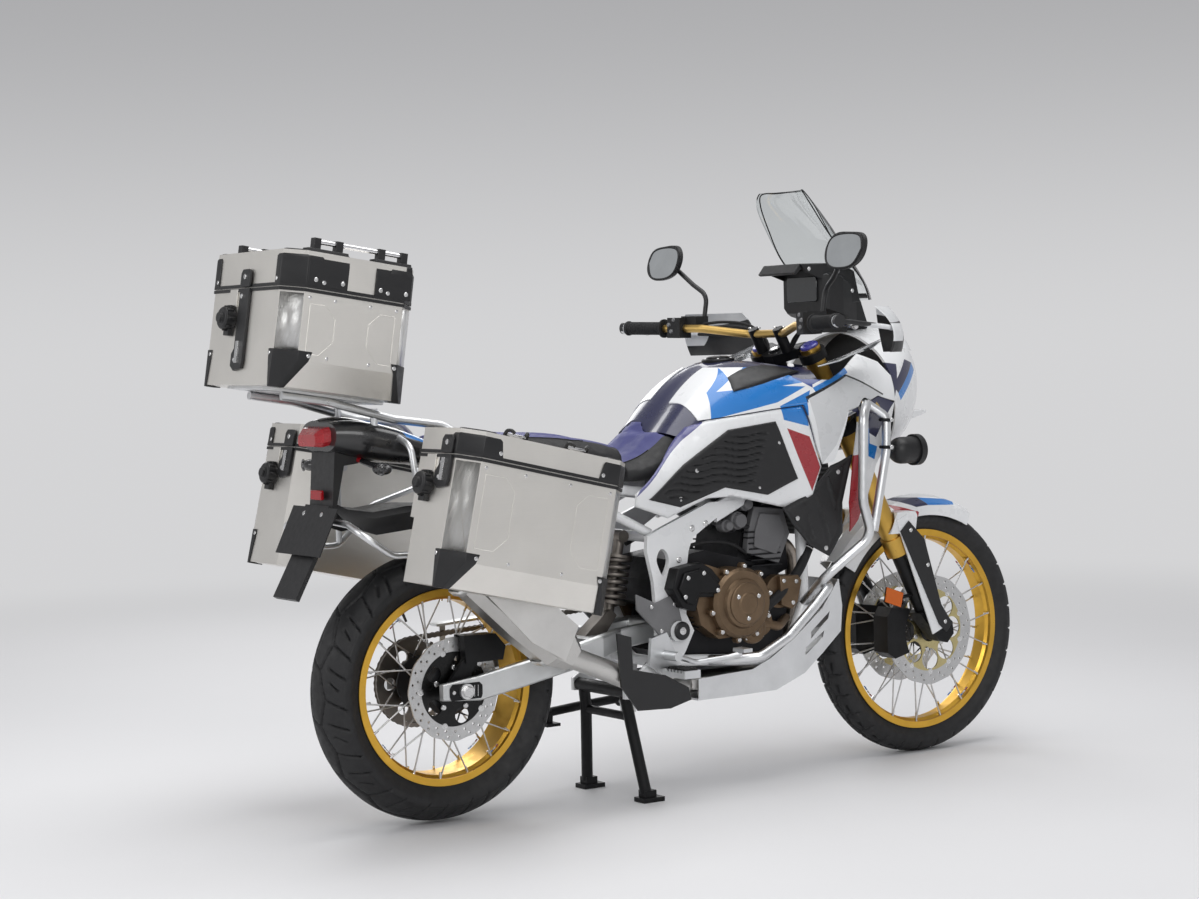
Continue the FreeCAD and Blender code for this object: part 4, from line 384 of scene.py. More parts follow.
MATERIALS = {
    "tyre": tyre_rubber(),
    "rim": gold("rim gold", (0.72, 0.42, 0.065), 0.34),
    "front_hub": hub_and_spokes("front hub and spokes", FRONT_AXLE, 66),
    "rear_hub": hub_and_spokes("rear hub and spokes", REAR_AXLE, 84),
    "shield": silencer_shield(),
    "tail": tail_lamp(),
    "hub": cast_metal("hub black", (0.03, 0.03, 0.032), 0.42),
    "front_disc": disc_steel("front disc steel", FRONT_AXLE, (0.55, 0.47, 0.24), 116),
    "rear_disc": disc_steel("rear disc steel", REAR_AXLE, (0.03, 0.03, 0.03), 92),
    "fork_gold": gold("fork gold", (0.60, 0.37, 0.085), 0.33),
    "chrome": satin_metal("chrome tube", (0.78, 0.78, 0.79), 0.14, 0.000002),
    "bar": gold("bar gold", (0.58, 0.39, 0.13), 0.38),
    "black_metal": cast_metal("black metal", (0.012, 0.012, 0.013), 0.42),
    "rubber": plastic("grip rubber", (0.008, 0.008, 0.009), 0.68, 0.00015, 900),
    "frame": painted("frame white", (0.78, 0.79, 0.80)),
    "swingarm": satin_metal("swingarm silver", (0.66, 0.67, 0.67), 0.38),
    "engine": cast_metal("engine black", (0.015, 0.015, 0.017), 0.48),
    "bronze": cast_metal("cover bronze", (0.17, 0.115, 0.07), 0.42, 0.75),
    "intake": plastic("intake grey", (0.13, 0.13, 0.135), 0.5),
    "radiator": radiator_core(),
    "exhaust": exhaust_steel(),
    "black_plastic": plastic("black plastic", (0.008, 0.008, 0.009), 0.44),
    "grey_plastic": plastic("grey plastic", (0.16, 0.16, 0.165), 0.5),
    "skid": satin_metal("skid plate silver", (0.76, 0.77, 0.78), 0.36),
    "tube": satin_metal("crash bar silver", (0.72, 0.73, 0.74), 0.33),
    "navy_gloss": painted("panel navy", NAVY),
    "blue_gloss": painted("panel blue", AZURE),
    "red_gloss": painted("panel red", RED),
    "violet": painted("ring violet", (0.05, 0.05, 0.35)),
    "shrouds": painted("shroud paint", WHITE, *SHROUD_FIELDS, *COLUMN_FIELDS),
    "wings": painted("wing paint", WHITE, *WING_FIELDS),
    "cowl": painted("cowl paint", WHITE, *COWL_FIELDS),
    "fender": painted("fender paint", WHITE, *FENDER_FIELDS),
    "tail_paint": painted("tail paint", BLACK, TAIL_FIELD),
    "guards": guard_paint(),
    "screen": clear_plastic("clear screen", (0.86, 0.89, 0.89), 0.0),
    "smoke": clear_plastic("smoked plastic", (0.35, 0.36, 0.37), 0.05, 0.8),
    "lens": clear_plastic("clear lens", (0.92, 0.92, 0.92), 0.05),
    "orange_lens": clear_plastic("orange reflector", (0.85, 0.17, 0.01), 0.15, 0.3),
    "red_lens": clear_plastic("red lens", (0.50, 0.012, 0.02), 0.12, 0.4),
    "glass": satin_metal("mirror glass", (0.72, 0.75, 0.76), 0.06, 0.0, 10),
    "display": plastic("display", (0.01, 0.012, 0.014), 0.12, 0.000002, 200, 0.5),
    "case": brushed_metal("case aluminium", (0.76, 0.74, 0.70), "x"),
    "strip": satin_metal("corner aluminium", (0.82, 0.82, 0.81), 0.42, 0.000004),
    "rack": satin_metal("rack silver", (0.70, 0.71, 0.72), 0.35),
    "screw": satin_metal("screw steel", (0.66, 0.66, 0.66), 0.25),
    "chain": satin_metal("chain steel", (0.22, 0.20, 0.18), 0.4),
    "seat": seat_cover(),
    "label": plastic("bare label", (0.62, 0.62, 0.62), 0.4),
}

# The nodes that wear each look
NODES_WITH = {
    "tyre": "front_tyre rear_tyre",
    "rim": "front_rim rear_rim",
    "front_hub": "front_hub",
    "rear_hub": "rear_hub",
    "front_disc": "front_discs",
    "rear_disc": "rear_disc",
    "chain": "rear_sprocket shock_absorber drive_chain",
    "black_metal": "triple_clamps fork_lowers rear_caliper centre_stand side_stand",
    "fork_gold": "fork_uppers",
    "fender": "front_mudguard",
    "bar": "handlebar",
    "rubber": "hand_controls",
    "guards": "handguards",
    "black_plastic": "mirrors front_lamps instruments rear_mudguard",
    "frame": "main_frame subframe",
    "swingarm": "swingarm",
    "engine": "engine_block",
    "bronze": "engine_covers",
    "intake": "throttle_bodies",
    "radiator": "radiator",
    "exhaust": "exhaust_header muffler",
    "shield": "heat_shields",
    "skid": "skid_plate",
    "tube": "crash_bars",
    "navy_gloss": "fuel_tank",
    "shrouds": "tank_shrouds",
    "wings": "side_panels",
    "cowl": "front_cowl",
    "screen": "windscreen",
    "seat": "rider_seat passenger_seat",
    "tail_paint": "tail_cowl",
    "tail": "rear_lamps",
    "rack": "luggage_racks foot_controls",
    "case": "right_pannier_case left_pannier_case right_pannier_lid left_pannier_lid top_case "
            "top_case_lid",
}

for look_name, node_names in NODES_WITH.items():
    for node_name in node_names.split():
        node_mesh = frame["nodes"][node_name].data
        node_mesh.materials.clear()
        node_mesh.materials.append(MATERIALS[look_name])


# Making pieces
RIGHT, LEFT = (0, -1, 0), (0, 1, 0)
BEVEL_FROM = math.radians(40)


def turns(count, shift=0.0):
    """Even angles round a circle; shift is in shares of one step."""
    return [math.tau * (i + shift) / count for i in range(count)]


def circle(middle, first, second, count, shift=0.0):
    """Even places round a middle, with the circle's two half axes given."""
    return [middle + first * math.cos(angle) + second * math.sin(angle) for angle in turns(count, shift)]


def on_circle(middle, radius, angle, y):
    """A place on a circle in side view."""
    return (middle[0] + radius * math.cos(angle), y, middle[1] + radius * math.sin(angle))


def axes(along):
    """A line's direction and two more at right angles to it."""
    along = Vector(along).normalized()
    normal = along.orthogonal().normalized()
    return along, normal, along.cross(normal)


def spline(points, steps=8):
    """A smooth line through points."""
    points = [Vector(p) for p in points]
    line = []
    for i in range(len(points) - 1):
        before = points[max(i - 1, 0)]
        start, end = points[i], points[i + 1]
        after = points[min(i + 2, len(points) - 1)]
        for step in range(steps):
            t = step / steps
            bend = 2 * before - 5 * start + 4 * end - after
            twist = 3 * start - 3 * end + after - before
            line.append(0.5 * (2 * start + (end - before) * t + bend * t * t + twist * t * t * t))
    return line + [points[-1]]


class Batch:
    """Pieces of one finish on one body, joined in one mesh and drawn in millimetres."""

    def __init__(self, name, node, finish, space=MEASURE):
        self.name, self.node, self.finish, self.space = name, node, finish, space
        self.mesh = bmesh.new()

    def rows(self, rows, closed=False, caps=False):
        """A skin over rows of points; closed joins each row's ends."""
        grid = [[self.mesh.verts.new(Vector(p)) for p in row] for row in rows]
        count = len(grid[0])
        for low, high in zip(grid, grid[1:]):
            for i in range(count if closed else count - 1):
                j = (i + 1) % count
                self.mesh.faces.new((low[i], low[j], high[j], high[i]))
        if caps:
            self.mesh.faces.new(list(reversed(grid[0])))
            self.mesh.faces.new(grid[-1])
        return self

    def prism(self, outline, low, high, plane="xz"):
        """An outline in side view (xz) or seen from the end (yz), carried across from low to high."""
        if plane == "xz":
            rows = [[(a, value, b) for a, b in outline] for value in (low, high)]
        else:
            rows = [[(value, a, b) for a, b in outline] for value in (low, high)]
        return self.rows(rows, closed=True, caps=True)

    def plates(self, outline, near, far):
        """The same plate on both sides, between two distances from the middle."""
        for side in SIDES:
            self.prism(outline, *sorted((side * near, side * far)))
        return self

    def box(self, low, high):
        x0, y0, z0 = low
        x1, y1, z1 = high
        return self.prism([(x0, z0), (x1, z0), (x1, z1), (x0, z1)], y0, y1)

    def tube(self, points, radius, sides, smooth=True, end_radius=None):
        """A round bar along points, joined by a smooth line or a straight one."""
        line = spline(points) if smooth else [Vector(p) for p in points]
        rows = []
        normal = None
        for i, point in enumerate(line):
            along = (line[min(i + 1, len(line) - 1)] - line[max(i - 1, 0)]).normalized()
            if normal is None:
                normal = along.orthogonal().normalized()
            normal = (normal - along * normal.dot(along)).normalized()
            other = along.cross(normal)
            share = i / (len(line) - 1)
            size = radius + ((end_radius or radius) - radius) * share
            rows.append(circle(point, normal * size, other * size, sides))
        return self.rows(rows, closed=True, caps=True)

    def rod(self, start, end, radius, end_radius=None, sides=20):
        return self.tube([start, end], radius, sides, False, end_radius)

    def turned(self, profile, place, along, sides):
        """A profile of (way along, radius) turned about a line."""
        along, normal, other = axes(along)
        rows = [circle(Vector(place) + along * way, normal * radius, other * radius, sides)
                for way, radius in profile]
        return self.rows(rows, closed=True, caps=True)

    def screw(self, place, along, radius, high):
        """A round head with a hexagonal socket."""
        head = [(-0.5, radius), (high * 0.6, radius), (high, radius * 0.75), (high, radius * 0.5)]
        self.turned(head, place, along, 20)
        return self.turned([(high + 0.05, radius * 0.46), (high + 0.3, radius * 0.4)], place, along, 6)

    def screws(self, places, y, radius=6.0, high=3.5, sides=SIDES):
        """Screws in the flanks at places (x, z)."""
        for side in sides:
            for x, z in places:
                self.screw((x, side * y, z), (0, side, 0), radius, high)
        return self

    def nut(self, place, along, radius, high):
        """A hexagonal nut on its washer."""
        self.turned([(-0.5, radius * 1.25), (1.5, radius * 1.25)], place, along, 24)
        return self.turned([(1.4, radius), (high * 0.85, radius), (high, radius * 0.86)], place, along, 6)

    def ring(self, place, along, radius, thick, sides=48, round_sides=10):
        """A round ring about a line."""
        along, normal, other = axes(along)
        rows = [circle(Vector(place) + out * radius, out * thick, along * thick, round_sides)
                for out in circle(Vector(), normal, other, sides)]
        return self.rows(rows + rows[:1], closed=True)

    def cover(self, outline, height, lift, step):
        """A skin on both sides inside an outline in side view; height and lift are functions of (x, z)."""
        points = [Vector(p) for p in outline]
        edge = []
        for start, end in zip(points, points[1:] + points[:1]):
            count = max(1, round((end - start).length / step))
            edge += [start + (end - start) * (i / count) for i in range(count)]
        low, high = ([pick(p[k] for p in edge) for k in (0, 1)] for pick in (min, max))
        inner = [(low[0] + i * step, low[1] + k * step) for i in range(1, int((high[0] - low[0]) / step))
                 for k in range(1, int((high[1] - low[1]) / step))]
        flat = edge + [Vector(p) for p in kept_inside(inner, edge, step * 0.45)]
        loop = [(i, (i + 1) % len(edge)) for i in range(len(edge))]
        places, _, faces, _, _, _ = delaunay_2d_cdt(flat, loop, [list(range(len(edge)))], 1, 1e-4)
        for side in SIDES:
            verts = [self.mesh.verts.new((x, side * (height(x, z) + lift(x, z)), z)) for x, z in places]
            for face in faces:
                corners = [verts[i] for i in face]
                self.mesh.faces.new(corners if side < 0 else list(reversed(corners)))
        return self

    def done(self, bevel=0.0, solid=0.0, angle=32, even=False, levels=0, weld=False):
        """Ends the mesh, with an optional wall and rounded edges, and hangs it on its body."""
        if weld:
            bmesh.ops.remove_doubles(self.mesh, verts=self.mesh.verts, dist=0.01)
        self.mesh.transform(self.space)
        if not even:
            bmesh.ops.recalc_face_normals(self.mesh, faces=self.mesh.faces)
        data = bpy.data.meshes.new(self.name)
        self.mesh.to_mesh(data)
        self.mesh.free()
        data.materials.append(MATERIALS[self.finish])
        data.shade_smooth()
        data.set_sharp_from_angle(angle=math.radians(angle))
        piece = bpy.data.objects.new(self.name, data)
        bpy.context.scene.collection.objects.link(piece)
        if solid:
            wall = piece.modifiers.new("wall", "SOLIDIFY")
            wall.thickness, wall.offset = abs(solid) * MM, math.copysign(1.0, solid)
            wall.use_even_offset = True
        if bevel:
            edge = piece.modifiers.new("edge", "BEVEL")
            edge.width, edge.segments, edge.limit_method = bevel * MM, 2, "ANGLE"
            edge.angle_limit = BEVEL_FROM
        if levels:
            round_off = piece.modifiers.new("round", "SUBSURF")
            round_off.levels = round_off.render_levels = levels
        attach(piece, BODY_OF[self.node])
        return piece


def kept_inside(points, loop, gap):
    """The points inside a closed line that keep a gap from its corners."""
    places = np.array(points)
    inside, free = np.zeros(len(places), bool), np.ones(len(places), bool)
    for a, b in zip(loop, loop[1:] + loop[:1]):
        if a.y != b.y:
            crossed = (a.y > places[:, 1]) != (b.y > places[:, 1])
            inside ^= crossed & (places[:, 0] < (b.x - a.x) * (places[:, 1] - a.y) / (b.y - a.y) + a.x)
        free &= np.hypot(places[:, 0] - a.x, places[:, 1] - a.y) > gap
    return places[inside & free]


SLOT_REACH = 4
LEAST_REACH = 20
EDGE_STEPS = 12
SMOOTH_STEPS = 3


def neighbours(grid, reach, mode):
    """The grid moved by each step up to reach, in both directions."""
    padded = np.pad(grid, reach, mode=mode)
    steps = range(2 * reach + 1)
    return np.array([padded[a:a + grid.shape[0], b:b + grid.shape[1]] for a in steps for b in steps])


def bridged(raw):
    """Closes what is narrower than a slot."""
    grid = np.where(np.isnan(raw), 0.0, raw)
    for pick in (np.max, np.min):
        grid = pick(neighbours(grid, SLOT_REACH, "edge"), axis=0)
    return grid


def carried_on(grid):
    """Carries the surface on past its edges, so that an outline may lie on them, and smooths it."""
    known = grid > LEAST_REACH
    for _ in range(EDGE_STEPS):
        total = neighbours(np.where(known, grid, 0.0), 1, "constant").sum(axis=0)
        weight = neighbours(known.astype(float), 1, "constant").sum(axis=0)
        grown = (weight > 0) & ~known
        grid = np.where(grown, total / np.maximum(weight, 1), grid)
        known = known | grown
    for _ in range(SMOOTH_STEPS):
        grid = neighbours(grid, 1, "edge").mean(axis=0)
    return grid


class SideSkin:
    """How far out the bodywork reaches at each place in side view, with its slots and gaps bridged."""

    def __init__(self, nodes, low, high, step):
        self.low, self.step = low, step
        graph = bpy.context.evaluated_depsgraph_get()
        trees = [BVHTree.FromObject(frame["nodes"][node], graph) for node in nodes]
        self.count = [int((b - a) / step) + 1 for a, b in zip(low, high)]
        raw = np.full(self.count, np.nan)
        for i in range(self.count[0]):
            for k in range(self.count[1]):
                start = at(low[0] + i * step, -600, low[1] + k * step)
                hits = [tree.ray_cast(start, Vector((0, 1, 0)), 0.6)[0] for tree in trees]
                reach = [-hit.y / MM for hit in hits if hit is not None]
                if reach:
                    raw[i, k] = max(reach)
        self.grid = carried_on(bridged(raw))

    def __call__(self, x, z):
        a = min(max((x - self.low[0]) / self.step, 0), self.count[0] - 1.001)
        b = min(max((z - self.low[1]) / self.step, 0), self.count[1] - 1.001)
        i, k = int(a), int(b)
        s, t = a - i, b - k
        grid = self.grid
        return float((grid[i, k] * (1 - s) + grid[i + 1, k] * s) * (1 - t)
                     + (grid[i, k + 1] * (1 - s) + grid[i + 1, k + 1] * s) * t)


# Wheels
# A groove runs between two points, each a share of a pitch round the wheel and millimetres from its middle.
REAR_TREAD = [((0, 16), (0.5, 38)), ((0.5, 38), (1, 16)), ((0.5, -16), (1, -38)), ((0, -38), (0.5, -16)),
              ((0.5, 38), (0.72, 96)), ((0, -38), (0.22, -96)), ((0, 16), (-0.16, -20)),
              ((0.95, 44), (1.12, 92)), ((0.45, -44), (0.62, -92)), ((0.2, 50), (0.34, 74)),
              ((0.7, -50), (0.84, -74))]
FRONT_TREAD = [((0, 5), (0.5, 12)), ((0.5, 12), (1, 5)), ((0.5, -5), (1, -12)), ((0, -12), (0.5, -5)),
               ((0.5, 12), (0.68, 64)), ((0, -12), (0.18, -64)), ((0, 5), (-0.1, -8)),
               ((0.05, 30), (0.6, 27)), ((0.55, -30), (1.1, -27))]
# Radius, width, rim radius, rim width, crown, then the points round the tyre and across it.
REAR_SIZES = (333.6, 150.0, 242.6, 114.0, 46.0, 640, 84)
FRONT_SIZES = (347.7, 90.0, 280.7, 64.0, 24.0, 680, 60)
SPOKES = 36
VALVE_AT = 2.0
TAPE_BELOW = 26.8


def tyre_section(sizes):
    """Points across a tyre's outside, as places, radii and ways from the middle, and points inside it."""
    radius, width, rim_radius, rim_width, crown, _, across = sizes
    half, wall = width / 2, radius - rim_radius
    bead, bead_r = rim_width / 2 - 4.4, rim_radius - 10.2
    side = [(bead, bead_r), (bead + 0.3, rim_radius + 1), (half - 1.5, rim_radius + 0.36 * wall),
            (half, rim_radius + 0.55 * wall), (half - 3, radius - crown * 0.85)]
    side += [(half * share, radius - crown * drop) for share, drop in
             ((0.9, 0.70), (0.72, 0.42), (0.55, 0.235), (0.38, 0.11), (0.19, 0.028))]
    far_side = [(-y, r, 0) for y, r in reversed(side)]
    outline = spline([(y, r, 0) for y, r in side] + [(0, radius, 0)] + far_side, 10)
    ways = [0.0]
    for a, b in zip(outline, outline[1:]):
        ways.append(ways[-1] + (b - a).length)
    even = np.linspace(0, ways[-1], across)
    ys, rs = (np.interp(even, ways, [p[k] for p in outline]) for k in (0, 1))
    inside = [(-bead + 8, bead_r + 3), (-half + 12, rim_radius + 0.5 * wall), (0, radius - 22),
              (half - 12, rim_radius + 0.5 * wall), (bead - 8, bead_r + 3)]
    return ys, rs, even - ways[-1] / 2, inside


def groove_depths(along, lateral, pitch, tread, cut):
    """How deep each point lies in a groove, from 0 to 1."""
    depths = np.zeros((len(along), len(lateral)))
    for (u0, v0), (u1, v1) in tread:
        for turn in (-1, 0, 1):
            start = np.array([(u0 + turn) * pitch, v0])
            way = np.array([(u1 - u0) * pitch, v1 - v0])
            off_x, off_y = along[:, None] - start[0], lateral[None, :] - start[1]
            share = np.clip((off_x * way[0] + off_y * way[1]) / (way @ way), 0, 1)
            gone = np.hypot(off_x - share * way[0], off_y - share * way[1])
            depths = np.maximum(depths, np.clip((cut / 2 + 1.2 - gone) / 1.6, 0, 1))
    return depths


def make_tyre(name, axle, sizes, tread, pitches, cut, depth):
    """A tyre with grooves cut in its tread, which takes the plain tyre's place."""
    radius, crown, around, across = sizes[0], sizes[4], sizes[5], sizes[6]
    ys, rs, lateral, inside = tyre_section(sizes)
    angles = np.arange(around) * math.tau / around
    pitch = math.tau * radius / pitches
    depths = groove_depths((angles * radius) % pitch, lateral, pitch, tread, cut)
    depths = depths * depth * np.clip((rs - (radius - crown * 1.25)) / 8, 0, 1)[None, :]
    slope_y, slope_r = np.gradient(ys), np.gradient(rs)
    length = np.hypot(slope_y, slope_r)
    out_y, out_r = -slope_r / length, slope_y / length
    flip = np.sign(out_r[across // 2])
    ys = ys[None, :] - depths * out_y * flip
    rs = rs[None, :] - depths * out_r * flip
    rows = []
    for i, angle in enumerate(angles):
        points = list(zip(ys[i], rs[i])) + inside
        rows.append([on_circle(axle, r, angle, y) for y, r in points])
    batch = Batch(f"{name}_tyre_tread", f"{name}_tyre", "tyre")
    batch.rows(rows + rows[:1], closed=True)
    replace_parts(batch.done(angle=60, weld=True), f"{name}_tyre")


def wheel_details(name, axle, rim_radius, spoke_y, edge, hub_half, hub_radius):
    """Spoke nipples, tape on the rim, rings round the hub and the valve."""
    nipples = Batch(f"{name}_nipples", f"{name}_hub", "screw")
    for i, angle in enumerate(turns(SPOKES, 0.5)):
        side = 1 if i % 2 else -1
        nipples.rod(on_circle(axle, rim_radius - 10, angle, side * (spoke_y + 2)),
                    on_circle(axle, rim_radius - 34, angle, side * (spoke_y - 1)), 3.6, 3.0, 8)
    nipples.done()
    for tone, first, last in (("blue_gloss", 0.30, 0.36), ("label", 0.37, 0.41), ("red_gloss", 0.42, 0.46)):
        tape = Batch(f"{name}_rim_tape_{tone}", f"{name}_rim", tone)
        bounds = [first + (last - first) * step / 5 for step in range(6)]
        for start in (turn * math.pi / 2 + 0.3 for turn in range(4)):
            for side in SIDES:
                rows = [[on_circle(axle, rim_radius - TAPE_BELOW, start + share, side * y)
                         for y in (edge - 5, edge + 2)] for share in bounds]
                for pair in zip(rows, rows[1:]):
                    tape.rows(pair)
        tape.done(solid=-0.4)
    dress = Batch(f"{name}_hub_dress", f"{name}_hub", "hub")
    for side in SIDES:
        dress.ring(on_circle(axle, 0, 0, side * (hub_half - 12)), (0, 1, 0), hub_radius - 1, 2.0)
    foot, tip = (on_circle(axle, rim_radius - inward, VALVE_AT, 0) for inward in (24, 62))
    dress.rod(foot, tip, 4.2, 3.2)
    dress.done()


def disc_details(node, axle, sides, ring_radius, bobbins, screw_radius, screws, face):
    """Bobbins between disc and carrier, and the carrier's screws."""
    steel = Batch(f"{node}_screws", node, "screw")
    for side in sides:
        for angle in turns(bobbins, 0.5):
            steel.turned([(0, 8.2), (4.9, 8.2), (5.2, 7.4), (5.2, 4.0), (4.9, 3.6)],
                         on_circle(axle, ring_radius, angle, side * (face - 4.8)), (0, side, 0), 18)
        for angle in turns(screws):
            steel.screw(on_circle(axle, screw_radius, angle + 0.3, side * face), (0, side, 0), 7, 5)
    steel.done()


def make_wheels():
    rear, front = (0.0, REAR_AXLE_Z), (WHEELBASE, FRONT_AXLE_Z)
    make_tyre("rear", rear, REAR_SIZES, REAR_TREAD, 15, 4.6, 5.5)
    make_tyre("front", front, FRONT_SIZES, FRONT_TREAD, 32, 5.2, 6.0)
    wheel_details("rear", rear, 242.6, 48, 50.6, 80.0, 68.0)
    wheel_details("front", front, 280.7, 25, 25.6, 52.0, 52.0)
    disc_details("rear_disc", rear, (-1,), 94, 5, 53, 5, 94.3)
    disc_details("front_discs", front, SIDES, 118, 10, 56, 6, 64.3)
    nuts = Batch("sprocket_nuts", "rear_sprocket", "screw")
    for angle in turns(6):
        nuts.nut(on_circle(rear, 52, angle, 99.2), (0, 1, 0), 7.5, 7)
    nuts.done()


# Luggage cases
CORNER = 43.0
BEVEL = 30.0


def case_space(x, z, pitch):
    return MEASURE @ Matrix.Translation((x, 0, z)) @ Matrix.Rotation(math.radians(pitch), 4, "Y")


PANNIER_SPACE = case_space(-200.0, 930.0, 12.8)
TOP_SPACE = case_space(-478.0, 1322.0, 8.8)
# Length, depth below the seam, and height above it
PANNIER_SIZE = (462.0, 300.0, 60.0)
TOP_SIZE = (344.0, 228.0, 86.0)


class CaseDress:
    """Guards, strips, latches and rivets of one case, in the case's own millimetres.

    Along runs from the rear end to the front, depth runs inward from the outer face.
    """

    def __init__(self, name, case, lid, space, size, outer, side):
        self.name, self.case, self.lid, self.space = name, case, lid, space
        self.length, self.deep, self.high = size
        self.outer, self.side = outer, side
        self.top = self.high + 0.4
        self.large = self.deep > 250

    def point(self, along, depth, z, rear=True):
        x = along if rear else self.length - along
        return (x, self.side * (self.outer - depth), z)

    def batch(self, part, finish, lid=False):
        return Batch(f"{self.name}_{part}", self.lid if lid else self.case, finish, self.space)

    def block(self, batch, x, half, depths, z0, z1):
        """A box on the lid, given by its middle, its half length and its two depths."""
        ys = sorted(self.side * (self.outer - depth) for depth in depths)
        batch.box((x - half, ys[0], z0), (x + half, ys[1], z1))

    def corners(self):
        """Black guards round the lower corners, and bright strips up the cut corners."""
        guards = self.batch("corner_guards", "black_plastic")
        strips = self.batch("corner_strips", "strip")
        low = -self.deep
        for rear in (True, False):
            wide = 78 if rear else 58
            rows = []
            for z, reach, shift, end in ((low + 84, wide, 0, 62), (low + 62, wide - 8, 0, 60),
                                         (low - 1, 30, BEVEL, 50)):
                rows.append([(max(reach, CORNER + 1 - shift), shift, z), (CORNER - shift, shift, z),
                             (0, CORNER, z), (0, end, z)])
            rows.append([(34, BEVEL + 26, low - 1), (26, BEVEL + 22, low - 1), (22, BEVEL + 20, low - 1),
                         (20, BEVEL + 26, low - 1)])
            guards.rows([[self.point(*p, rear) for p in row] for row in rows])
            strips.rows([[self.point(*p, z, rear) for p in ((CORNER - 1, 1), (1, CORNER - 1))]
                         for z in (low + 84, -12)])
        guards.done(solid=2.6, bevel=0.8)
        strips.done(solid=1.2)
        self.lid_corners()

    def lid_corners(self):
        """Black blocks over the lid's corners."""
        blocks = self.batch("lid_corners", "black_plastic", lid=True)
        for rear in (True, False):
            rows = [[(98 - z * 0.2, 0, z), (CORNER, 0, z), (0, CORNER, z), (0, 66, z)]
                    for z in (6, self.top - 16)]
            for proud, plan in ((0.5, ((74, 10), (CORNER + 2, 10), (10, CORNER + 2), (10, 60))),
                                (1.0, ((66, 40), (56, 34), (34, 56), (30, 60)))):
                rows.append([(along, depth, self.top + proud) for along, depth in plan])
            blocks.rows([[self.point(*p, rear) for p in row] for row in rows])
        blocks.done(solid=3.0, bevel=1.0)

    def seam(self, inner):
        """The black double line where lid and case meet."""
        plan = [(0, CORNER), (CORNER, 0), (self.length - CORNER, 0), (self.length, CORNER),
                (self.length, inner - CORNER), (self.length - CORNER, inner), (CORNER, inner),
                (0, inner - CORNER)]
        middle = Vector((self.length / 2, inner / 2))
        grown = [(a + math.copysign(2.6, a - middle.x), b + math.copysign(2.6, b - middle.y))
                 for a, b in plan]
        inside = [(a + (middle.x - a) * 0.02, b + (middle.y - b) * 0.02) for a, b in plan]
        for part, lid, z0, z1 in (("seam_low", False, -8, -0.8), ("seam_high", True, 1.4, 9)):
            rows = [[self.point(*p, z) for p in shape] for shape, z in
                    ((inside, z0), (grown, z0), (grown, z1), (inside, z1))]
            self.batch(part, "black_plastic", lid).rows(rows, closed=True).done()

    def embossing(self):
        """Pressed lines on the outer face, bare in the middle, then the rivets."""
        left, top, low = 60.0, -34.0, -204.0 if self.large else -150.0
        inward = 144.0 if self.large else 128.0
        shape = [(left, top), (inward - 28, top), (inward, top - 28), (inward, low + 34), (inward - 34, low),
                 (left, low), (left, top)]
        lines = self.batch("embossed_lines", "case")
        for rear in (True, False):
            points = [self.point(along, 0.1, z, rear) for along, z in shape]
            for start, end in zip(points, points[1:]):
                lines.rod(start, end, 0.9, None, 6)
        lines.done()
        self.rivets()

    def rivets(self):
        """Small rivets along the faces, and larger ones in the guards."""
        small = [(-0.5, 4.2), (0.8, 4.2), (1.6, 2.4)]
        large = [(-0.5, 5.0), (1.0, 5.0), (1.8, 3.2)]
        outward = (0, self.side, 0)
        rivets = self.batch("rivets", "screw")
        lid_rivets = self.batch("lid_rivets", "screw", lid=True)
        low = -self.deep + 74
        for z, places in ((-20, (58, self.length * 0.36, self.length * 0.63, self.length - 58)),
                          (low, (self.length * 0.34, self.length * 0.66))):
            for x in places:
                rivets.turned(small, self.point(x, 0, z), outward, 14)
        for rear in (True, False):
            endward = (-1, 0, 0) if rear else (1, 0, 0)
            for batch, along, depth, z, way, proud in (
                    (rivets, 68 if rear else 50, 0, low, outward, 2.6), (rivets, 0, 56, low, endward, 2.6),
                    (lid_rivets, 88, 0, 18, outward, 3), (lid_rivets, 0, 58, 18, endward, 3)):
                place = Vector(self.point(along, depth, z, rear)) + Vector(way) * proud
                batch.turned(large, place, way, 14)
        rivets.done()
        lid_rivets.done()

    def latch(self, bar_y, knob_y, drop):
        """The lock on the rear end: a black bar over the seam with its lever, and a knob beside it."""
        bar = self.batch("latch_bar", "black_plastic")
        a, b = bar_y - 24, bar_y + 24
        bar.prism([(a, -1), (b, -1), (b, -drop + 34), (b + 12, -drop + 20), (b + 12, -drop - 8),
                   (b - 6, -drop - 20), (a + 4, -drop - 14), (a, -drop)], -8, -0.2, "yz")
        bar.turned([(0, 25), (8, 27), (26, 27), (30, 23), (30, 13), (38, 12), (38, 2)], (-0.2, knob_y, -72),
                   (-1, 0, 0), 24)
        bar.box((-14, knob_y - 12, -112), (-0.2, knob_y + 14, -40))
        for angle in turns(8):
            y, z = knob_y + 27 * math.cos(angle), -72 + 27 * math.sin(angle)
            bar.rod((-8, y, z), (-24, y, z), 3.4, None, 8)
        bar.done(bevel=1.2)
        hook = [(a, 2), (b, 2), (b, 34), (b - 8, 44), (a + 8, 44), (a, 34)]
        self.batch("latch_hook", "black_plastic", lid=True).prism(hook, -9, -3.2, "yz").done(bevel=1.2)
        lever = self.batch("latch_lever", "screw")
        lever.box((-13, bar_y - 6, -drop - 2), (-7.8, bar_y + 8, -drop + 50))
        lever.screw((-8, bar_y + 10, -20), (-1, 0, 0), 6, 3)
        lever.screw((-8, bar_y + 16, -drop + 6), (-1, 0, 0), 5, 3)
        lever.done(bevel=1.0)
        plate = self.batch("latch_plate", "case")
        plate.box((-3.5, knob_y - 20, -44), (-0.1, knob_y + 20, -1.5)).done(bevel=0.6)
        self.batch("latch_screws", "screw", lid=True).screw((-9, bar_y, 26), (-1, 0, 0), 6.5, 3).done()

